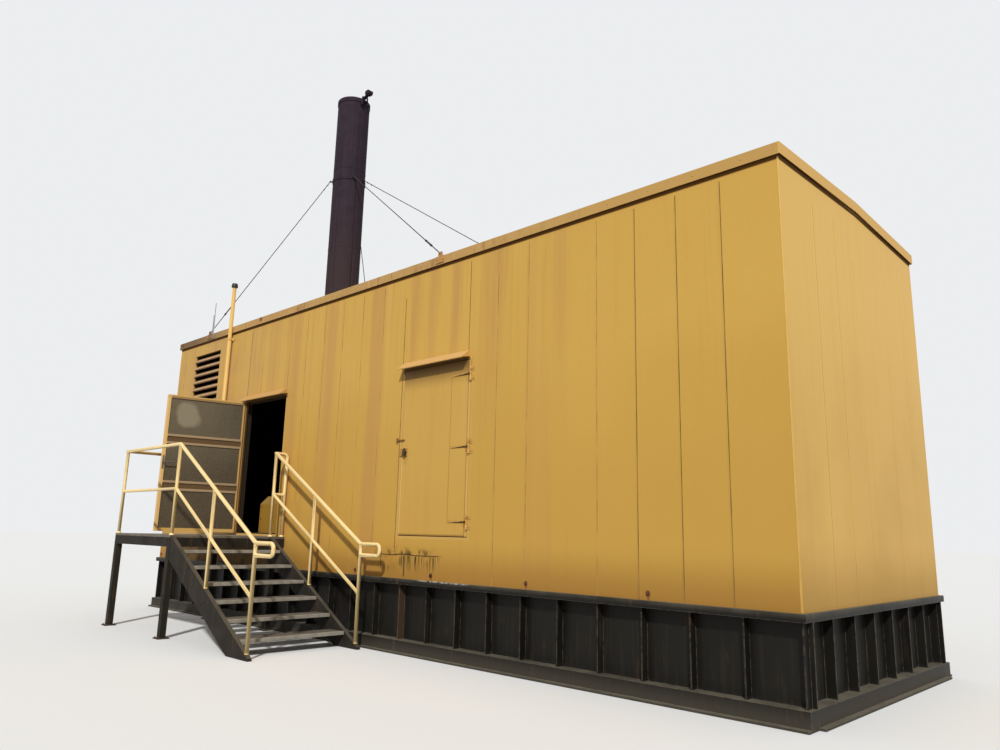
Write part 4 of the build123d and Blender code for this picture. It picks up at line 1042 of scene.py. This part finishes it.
# Machine guard: the low cover that stands inside the entry, of sheet bolted together at its corners. Its
# yellow is painted dark, as the shade it stands in, with dust on top and rust along its edges.
# Painted shade: the guard's yellow is a darker copy of the paint, for the shade inside the entry.
guard_coat = yellow_coat("guard_yellow_shaded", (136, 100, 32), 0.3, 0.3)
guard_coat.weather(dust, (120, 100, 70), 0.6, 0.9, cover=0.9)
guard_coat.weather(edges, rust_brown, 0.6, 0.8, radius=0.01, wear=0.8)
dress(guard_coat.done(), "machine_guard")
guard_low, guard_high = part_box("machine_guard")
guard_points = [(x, z) for x in (guard_low.x + 0.05, guard_high.x - 0.05) for z in (1.36, 1.55, 1.74)]
guard_places = spots(moved(0, guard_low.y, 0), guard_points)
fit(model_bolt(0.018, 0.009), "guard_bolts", guard_places, "base_black", rust_finish)


# Exhaust stack: rolled plate tube, painted dark and burnt to rust brown, welded along its length and round at
# two joints, with a clamped collar for the stays and a clamped band that carries the rain cap.
def weld_ring(pipe_radius, bead, steps=18):
    """A ring of weld round a pipe, slightly lumpy."""
    ring = add_mesh(
        "weld", "torus", major_radius=pipe_radius, minor_radius=bead, major_segments=steps, minor_segments=6
    )
    shape(ring, "DISPLACE", strength=bead * 0.7, mid_level=0.5, texture=weld_ripple, texture_coords="LOCAL")
    bpy.ops.object.shade_smooth()
    return ring


weld_ripple = bpy.data.textures.new("weld_ripple", "CLOUDS")
weld_ripple.noise_scale = 0.02
stack_coat = Finish("stack_rust", (43, 35, 45), 0.8, gloss=0.12)
stack_coat.weather(mottle, (54, 41, 50), 0.7, patch=0.9, contrast=3.0)
stack_coat.weather(mottle, (33, 26, 32), 0.55, patch=0.16, contrast=3.5)
stack_coat.weather(streaks, (62, 47, 52), 0.45, 0.85, width=0.05, length=1.6, cover=0.45)
stack_coat.coat(stack_coat.noise(90.0, 3.0, 0.7), (55, 42, 50), 0.3)
stack_coat.tint("Z", 8.0, 5.6, (60, 47, 44), 0.6)
stack_coat.tint("Z", 5.25, 4.85, (92, 68, 50), 0.55, 0.9)
stack_coat.relief(stack_coat.noise(70.0, 4.0, 0.6), 0.0012)
stack_finish = stack_coat.done()
rounded("smooth_stack", "stack_rust", stack_finish, "exhaust_stack")
rounded("smooth_collar", "stack_rust", stack_finish, "stay_collar", "rain_cap_band")
rounded("smooth_curb", "stack_rust", stack_finish, "stack_curb")
rounded("smooth_cap_flap", "stack_rust", stack_finish, "rain_cap_flap", body="rain_cap")

stack_radius = 0.305
tube_low, tube_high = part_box("exhaust_stack")
stack_x = (tube_low.x + tube_high.x) / 2
collar_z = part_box("stay_collar")[0].z
curb_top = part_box("stack_curb")[1].z
on_axis = moved(stack_x, 0, 0)
seam_levels = (6.60, 8.20)
ring_places = [on_axis @ moved(0, 0, level) for level in seam_levels]
fit(weld_ring(stack_radius, 0.0035, steps=72), "stack_welds", ring_places, "stack_rust", stack_finish)
bead = add_box("bead", (-0.004, -stack_radius - 0.0018, 0), (0.004, -stack_radius + 0.003, 1))
soften(bead, 0.0015, 3)
band_foot = tube_high.z - 0.07
bead_runs = (
    (curb_top, seam_levels[0], 3.5),
    (seam_levels[0], collar_z, 4.6),
    (seam_levels[1], band_foot, 3.9),
)
bead_places = [
    on_axis @ turned(turn) @ moved(0, 0, low) @ Matrix.Diagonal((1, 1, high - low, 1))
    for low, high, turn in bead_runs
]
fit(bead, "stack_seams", bead_places, "stack_rust", stack_finish)


def round_stack(count, radius, level, first=0.0):
    """Places spaced evenly round the stack, facing outwards."""
    turns = [(step + first) * math.tau / count for step in range(count)]
    return [on_axis @ turned(turn) @ moved(0, -radius, level) for turn in turns]


upward = turned(-math.pi / 2, "X")
curb_places = [place @ upward for place in round_stack(16, 0.352, curb_top)]
fit(model_bolt(0.024, 0.012), "curb_bolts", curb_places, "stack_rust", rust_finish)
band_radius = stack_radius + 0.010
band_places = round_stack(4, band_radius, tube_high.z - 0.035, 0.35)
band_places += round_stack(4, band_radius, collar_z + 0.035, 0.35)
fit(model_bolt(0.022, 0.011), "band_bolts", band_places, "stack_rust", stack_finish)

# Stays: steel rods from the collar's lugs to an anchor at each roof edge. Each has an eye at both ends, two
# cable clips near its head, and an open turnbuckle near its foot that draws it taut.
galvanised = Finish("galvanised_dull", (58, 57, 56), 0.55, 0.4)
galvanised.weather(mottle, (36, 34, 33), 0.7, 0.7, patch=0.05, contrast=4.0)
galvanised.weather(mottle, (82, 60, 44), 0.35, 0.8, patch=0.012, contrast=4.0)
anchor_y = -trim_y
stay_foot_z = eave_z + 0.033
stay_head_z = collar_z + 0.035
head_reach = 0.355
buckle_end = 0.42
buckle_length = 0.28


def model_turnbuckle():
    """An open turnbuckle along Z: two side bars between end bosses, with a nut at each end."""
    bars = []
    for side in (-1, 1):
        bar_x = side * 0.012
        side_bar = add_box("turnbuckle", (bar_x - 0.0035, -0.007, 0.01), (bar_x + 0.0035, 0.007, 0.27))
        soften(side_bar, 0.003)
        bars.append(side_bar)
    for level, nut_level in ((0.014, -0.008), (buckle_length - 0.014, buckle_length + 0.008)):
        boss = add_round("boss", 16, 0.0158, 0.028, (0, 0, level), (0, 0, 0))
        soften(boss, 0.004)
        nut = add_round("nut", 6, 0.0125, 0.012, (0, 0, nut_level), (0, 0, 0))
        soften(nut, 0.0015, 1)
        bars += [boss, nut]
    return join_pieces("turnbuckle", bars)


def model_clip():
    """A cable clip along Z at the origin: a saddle with two nuts over a U-bolt."""
    saddle = add_box("clip", (-0.014, -0.010, -0.011), (0.014, 0.003, 0.011))
    soften(saddle, 0.003)
    loop = add_mesh(
        "loop",
        "torus",
        major_radius=0.008,
        minor_radius=0.0025,
        major_segments=14,
        minor_segments=6,
        location=(0, 0.002, 0),
    )
    nuts = [add_round("nut", 6, 0.0055, 0.006, (nut_x, -0.012, 0)) for nut_x in (-0.008, 0.008)]
    for nut in nuts:
        soften(nut, 0.0008, 1)
    return join_pieces("clip", [saddle, loop, *nuts])


def laid_along(direction):
    """A turn that lays a piece made along Z in a direction."""
    return direction.to_track_quat("Z", "Y").to_matrix().to_4x4()


stay_rod = add_round("rod", 10, 0.007, 1, (0, 0, 0.5), (0, 0, 0))
eye = add_mesh(
    "eye",
    "torus",
    major_radius=0.019,
    minor_radius=0.005,
    major_segments=20,
    minor_segments=8,
    rotation=(math.pi / 2, 0, 0),
)
stay_xs = (-4.70, 1.51)
rod_places, buckle_places, clip_places, eye_places = [], [], [], []
for foot_x in stay_xs:
    for side in (-1, 1):
        foot = Vector((foot_x, side * (anchor_y - 0.005), stay_foot_z))
        away = Vector((foot_x - stack_x, side * anchor_y, 0)).normalized()
        head = Vector((stack_x, 0, stay_head_z)) + away * head_reach
        run = (foot - head).normalized()
        lie = laid_along(run)
        buckle_start = foot - run * (buckle_end + buckle_length)
        rod_ends = (
            (head + run * 0.02, buckle_start + run * 0.09),
            (buckle_start + run * (buckle_length - 0.09), foot - run * 0.02),
        )
        for start, end in rod_ends:
            length = (end - start).length
            rod_places.append(Matrix.Translation(start) @ lie @ Matrix.Diagonal((1, 1, length, 1)))
        buckle_places.append(Matrix.Translation(buckle_start) @ lie)
        clip_places += [Matrix.Translation(head + run * reach) @ lie for reach in (0.09, 0.20)]
        eye_places += [Matrix.Translation(head) @ lie, Matrix.Translation(foot) @ lie]
stay_pieces = [
    set_out(stay_rod, "rods", rod_places),
    set_out(model_turnbuckle(), "turnbuckles", buckle_places),
    set_out(model_clip(), "clips", clip_places),
    set_out(eye, "eyes", eye_places),
]
stays = join_pieces("stays", stay_pieces)
smooth(40)
belongs(stays, "galvanised", galvanised.done())
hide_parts("stack_stays")
anchor_coat = yellow_coat("anchor_yellow", (184, 142, 88), 0.6, 0.5)
anchor_coat.weather(mottle, (150, 96, 56), 0.6, 0.85, patch=0.05, contrast=4.0)
anchor_coat.tint("X", -1.0, -2.0, (108, 74, 44), 0.8)
dress(anchor_coat.done(), "stay_anchors")
anchor_points = [(x + shift, trim_high.z - 0.045) for x in stay_xs for shift in (-0.055, 0.055)]
anchor_places = spots(front, anchor_points, 0.038) + spots(rear, [(-x, z) for x, z in anchor_points], 0.038)
fit(model_bolt(0.02, 0.01), "anchor_bolts", anchor_places, "housing_yellow", hinge_finish)

# Vent pipe and roof rods: a steel pipe held off the wall by three clips, under a black weather cap, painted
# later than the walls and so paler; and two thin galvanised rods at the roof edge.
pipe_coat = yellow_coat("pipe_pale", (216, 174, 100), 0.3, 0.3, 0.4)
pipe_coat.weather(mottle, (198, 156, 84), 0.45, patch=0.2, contrast=3.0)
pipe_finish = pipe_coat.done()
rounded("smooth_vent_pipe", "housing_yellow", pipe_finish, "vent_pipe")
rounded("smooth_vent_clips", "housing_yellow", pipe_finish, "vent_clips")
cap_black = Finish("cap_black", (30, 29, 29), 0.45)
cap_black.weather(mottle, (58, 55, 52), 0.5, 0.7, patch=0.03, contrast=3.5)
rounded("smooth_vent_cap", "cap_black", cap_black.done(), "vent_cap")
pipe_low, pipe_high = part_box("vent_pipe")
pipe_x = (pipe_low.x + pipe_high.x) / 2
clip_low, clip_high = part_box("vent_clips")
clip_levels = [clip_low.z + 0.02 + step * (clip_high.z - clip_low.z - 0.04) / 2 for step in range(3)]
clip_points = [(pipe_x + side * 0.058, level) for level in clip_levels for side in (-1, 1)]
fit(model_bolt(0.016, 0.008), "clip_bolts", spots(front, clip_points, strap_sheet), "base_black", rust_finish)
rod_coat = Finish("rod_pale", (146, 143, 136), 0.55, 0.2)
rod_coat.weather(mottle, (112, 104, 94), 0.6, 0.7, patch=0.06, contrast=3.5)
rounded("smooth_roof_rods", "galvanised", rod_coat.done(), "roof_rods")

# Landing: a welded frame on four legs, painted dark and worn, decked with steel bar grating. Its edge bands
# have been rubbed to pale grey.
frame_steel = Finish("landing_dark", (42, 37, 30), 0.65, gloss=0.15)
frame_steel.weather(mottle, (28, 25, 20), 0.7, 0.75, patch=0.3, contrast=3.0)
frame_steel.weather(streaks, (80, 58, 38), 0.45, 0.85, width=0.05, length=0.6, cover=0.4)
frame_steel.weather(dust, (110, 102, 86), 0.5, 0.9, cover=0.9)
frame_steel.weather(edges, (124, 114, 96), 0.4, 0.7, radius=0.006, wear=0.9)
frame_steel.relief(frame_steel.noise(50.0, 3.0), 0.0006)
dark_finish = frame_steel.done()
dress(dark_finish, "landing_frame", "stringer_outer", "stringer_wall_side")

grating = Finish("grating_steel", (120, 116, 104), 0.55, 0.4)
grating.weather(mottle, (84, 78, 68), 0.6, 0.7, patch=0.25, contrast=3.0)
grating.weather(mottle, (112, 82, 58), 0.3, 0.85, patch=0.03, contrast=3.5)
grating.weather(dust, (164, 158, 144), 0.6, 0.8, cover=0.8)
grating_finish = grating.done()
deck_low, deck_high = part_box("landing_deck")
bar_pitch = 0.03
bar_sheet = 0.005
band_sheet = 0.006
bar_count = int((deck_high.x - deck_low.x - 2 * band_sheet) / bar_pitch)
first_bar = (deck_low.x + deck_high.x - (bar_count - 1) * bar_pitch) / 2


def repeat(piece, count, step):
    """Repeat a piece in a row."""
    shape(
        piece,
        "ARRAY",
        count=count,
        use_relative_offset=False,
        use_constant_offset=True,
        constant_offset_displace=step,
    )


bearing_bars = add_box(
    "bars",
    (first_bar - bar_sheet / 2, deck_low.y + band_sheet, deck_low.z),
    (first_bar + bar_sheet / 2, deck_high.y - band_sheet, deck_high.z - 0.001),
)
soften(bearing_bars, 0.0012, 1)
repeat(bearing_bars, bar_count, (bar_pitch, 0, 0))
cross_pitch = 0.1
cross_count = int((deck_high.y - deck_low.y - 0.05) / cross_pitch)
cross_length = deck_high.x - deck_low.x - 2 * band_sheet
first_cross = ((deck_low.x + deck_high.x) / 2, deck_low.y + 0.06, deck_high.z - 0.005)
cross_rods = add_round("cross_rods", 6, 0.004, cross_length, first_cross, (0, math.pi / 2, 0))
repeat(cross_rods, cross_count, (0, cross_pitch, 0))
deck_left, deck_right = deck_low.x, deck_high.x
band_front, band_back = deck_low.y + band_sheet, deck_high.y - band_sheet
band_plans = (
    (deck_left, deck_low.y, deck_right, band_front),
    (deck_left, band_back, deck_right, deck_high.y),
    (deck_left, band_front, deck_left + band_sheet, band_back),
    (deck_right - band_sheet, band_front, deck_right, band_back),
)
edge_bands = []
for low_x, low_y, high_x, high_y in band_plans:
    edge_band = add_box("band", (low_x, low_y, deck_low.z), (high_x, high_y, deck_high.z))
    soften(edge_band, 0.0015)
    edge_bands.append(edge_band)
deck_grating = join_pieces("deck_grating", [bearing_bars, cross_rods, *edge_bands])
belongs(deck_grating, "grey_steel", grating_finish)
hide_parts("landing_deck")
leg_inset = 0.04
foot_rise = 0.012
foot_bolt_places = [
    moved(x + across, y + back, foot_rise) @ upward
    for x in (deck_left + leg_inset, deck_right - leg_inset)
    for y in (deck_low.y + leg_inset, -1.98)
    for across in (-0.055, 0.055)
    for back in (-0.055, 0.055)
]
fit(model_bolt(0.022, 0.012), "leg_bolts", foot_bolt_places, "base_black", rust_finish)

# Stair treads: folded plate between the stringers, bolted at both ends. A raised pattern keeps feet from
# slipping, and a worn pale nosing is fixed along each front edge.
tread_coat = Finish("tread_plate", (66, 62, 56), 0.6, 0.2)
tread_coat.weather(mottle, (46, 43, 39), 0.7, 0.75, patch=0.2, contrast=3.0)
tread_coat.weather(mottle, (104, 76, 54), 0.35, 0.85, patch=0.04, contrast=3.5)
tread_coat.weather(dust, (128, 120, 106), 0.55, 0.9, cover=0.8)
tread_finish = tread_coat.done()
dress(tread_finish, "stair_treads")
tread_low, tread_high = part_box("stair_treads")
tread_count = 6
tread_depth = 0.304
tread_rise = (tread_high.z - tread_low.z - 0.04) / (tread_count - 1)
tread_going = (tread_high.x - tread_low.x - tread_depth) / (tread_count - 1)
tread_offsets = [Vector((tread_going * step, 0, -tread_rise * step)) for step in range(tread_count)]
top_front = Vector((tread_low.x + tread_depth, 0, tread_high.z))
nosing = add_box(
    "nosing",
    (top_front.x - 0.045, tread_low.y + 0.004, top_front.z - 0.036),
    (top_front.x + 0.004, tread_high.y - 0.004, top_front.z + 0.004),
)
pull(nosing, lambda corner: corner.x < top_front.x - 0.04 and corner.z < top_front.z, (0, 0, 0.036))
soften(nosing, 0.003)
down_stair = [Matrix.Translation(offset) for offset in tread_offsets]
nosing_coat = Finish("nosing_pale", (152, 147, 134), 0.6, 0.2)
nosing_coat.weather(mottle, (116, 106, 92), 0.6, 0.75, patch=0.1, contrast=3.5)
nosing_coat.weather(edges, (182, 176, 160), 0.5, 0.5, radius=0.004, wear=0.9)
fit(nosing, "tread_nosings", down_stair, "grey_steel", nosing_coat.done())
lug_pitch = 0.048
lugs = []
for turn, shift in ((math.pi / 4, 0.0), (-math.pi / 4, lug_pitch / 2)):
    lug = add_mesh(
        "lug",
        "uv_sphere",
        segments=6,
        ring_count=4,
        radius=1,
        scale=(0.014, 0.0045, 0.0022),
        rotation=(0, 0, turn),
        location=(tread_low.x + 0.03 + shift, tread_low.y + 0.03 + shift, tread_high.z),
    )
    lugs.append(lug)
lug_field = join_pieces("lugs", lugs)
repeat(lug_field, int((tread_depth - 0.09) / lug_pitch), (lug_pitch, 0, 0))
repeat(lug_field, int((tread_high.y - tread_low.y - 0.05) / lug_pitch), (0, lug_pitch, 0))
fit(lug_field, "tread_lugs", down_stair, "grey_steel", tread_finish)
outer_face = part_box("stringer_outer")[0].y
inner_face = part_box("stringer_wall_side")[1].y
end_bolts = []
bolt_drop = 0.022
for place in down_stair:
    for across in (0.08, 0.22):
        bolt_x, bolt_z = tread_low.x + across, tread_high.z - bolt_drop
        end_bolts.append(place @ moved(bolt_x, outer_face, bolt_z))
        end_bolts.append(place @ moved(bolt_x, inner_face, bolt_z) @ turned(math.pi))
fit(model_bolt(0.018, 0.009), "tread_bolts", end_bolts, "base_black", dark_finish)

# Guard rails: round steel pipe, painted cream, with a closed hand loop at the foot of each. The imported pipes
# have a few flats; these are the same pipes rounded, with a weld at each joint and flared post feet.
rail_coat = Finish("rail_cream", (233, 206, 146), 0.42, gloss=0.25)
rail_coat.weather(mottle, (216, 181, 114), 0.5, patch=0.25, contrast=2.5)
rail_coat.weather(mottle, (238, 214, 160), 0.35, patch=0.05, contrast=3.0)
rail_coat.weather(dust, (200, 174, 124), 0.4, 0.7, cover=0.6)
chips = rail_coat.noise(34.0, 4.0, 0.7)
rail_coat.tint(chips, 0.66, 0.7, (122, 76, 44), 0.7, 0.8)
rail_finish = rail_coat.done()
rounded("guard_rails", "rail_cream", rail_finish, "guard_rail_outer", "guard_rail_wall_side")
rail_low, rail_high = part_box("guard_rail_outer")
post_radius = 0.0225
pipe_radius = 0.024
left_x = rail_low.x + pipe_radius
right_x = deck_high.x - 0.03
outer_y = rail_low.y + pipe_radius
wall_y = -2.035
return_y = -1.855
deck_z = deck_high.z
top_z = rail_high.z - pipe_radius
mid_z = deck_z + 0.6
slope = tread_rise / tread_going
downhill = Vector((1, 0, -slope)).normalized()
stair_posts = (right_x + 1.09, right_x + 2.18)
straight_up = Vector((0, 0, 1))
along_y = Vector((0, 1, 0))
along_x = Vector((1, 0, 0))
to_post = downhill * post_radius * 1.2
welds = [((right_x, return_y, deck_z + 0.001), straight_up)]
for x, y in ((left_x, outer_y), (right_x, outer_y), (right_x, wall_y)):
    welds += [((x, y, deck_z + 0.001), straight_up), ((x, y, top_z - pipe_radius), straight_up)]
for y in (outer_y, wall_y):
    for x in stair_posts:
        rail_z = top_z - (x - right_x) * slope
        foot_z = deck_z - (x - deck_high.x) * slope
        mid_here = Vector((x, y, mid_z - (x - right_x) * slope))
        welds += [((x, y, rail_z - 0.03), straight_up), ((x, y, foot_z + 0.002), straight_up)]
        welds.append((mid_here - to_post, downhill))
    for x in (right_x, stair_posts[0]):
        welds.append((Vector((x, y, mid_z - (x - right_x) * slope)) + to_post, downhill))
welds += [
    ((left_x + post_radius, outer_y, mid_z), along_x),
    ((right_x - post_radius, outer_y, mid_z), along_x),
    ((right_x, return_y - pipe_radius, mid_z), along_y),
    ((right_x, wall_y + post_radius, mid_z), along_y),
]
weld_places = [Matrix.Translation(point) @ laid_along(direction) for point, direction in welds]
fit(weld_ring(post_radius, 0.0045), "rail_welds", weld_places, "rail_cream", rail_finish)
flare_rise = 0.024
flare_middle = (0, 0, flare_rise / 2)
flare = add_mesh(
    "flare", "cone", vertices=24, radius1=0.036, radius2=0.024, depth=flare_rise, location=flare_middle
)
soften(flare, 0.004)
post_points = ((left_x, outer_y), (right_x, outer_y), (right_x, wall_y), (right_x, return_y))
post_feet = set_out(flare, "post_feet", [moved(x, y, deck_z - 0.001) for x, y in post_points])
smooth(40)
belongs(post_feet, "rail_cream", rail_finish)

low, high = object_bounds()
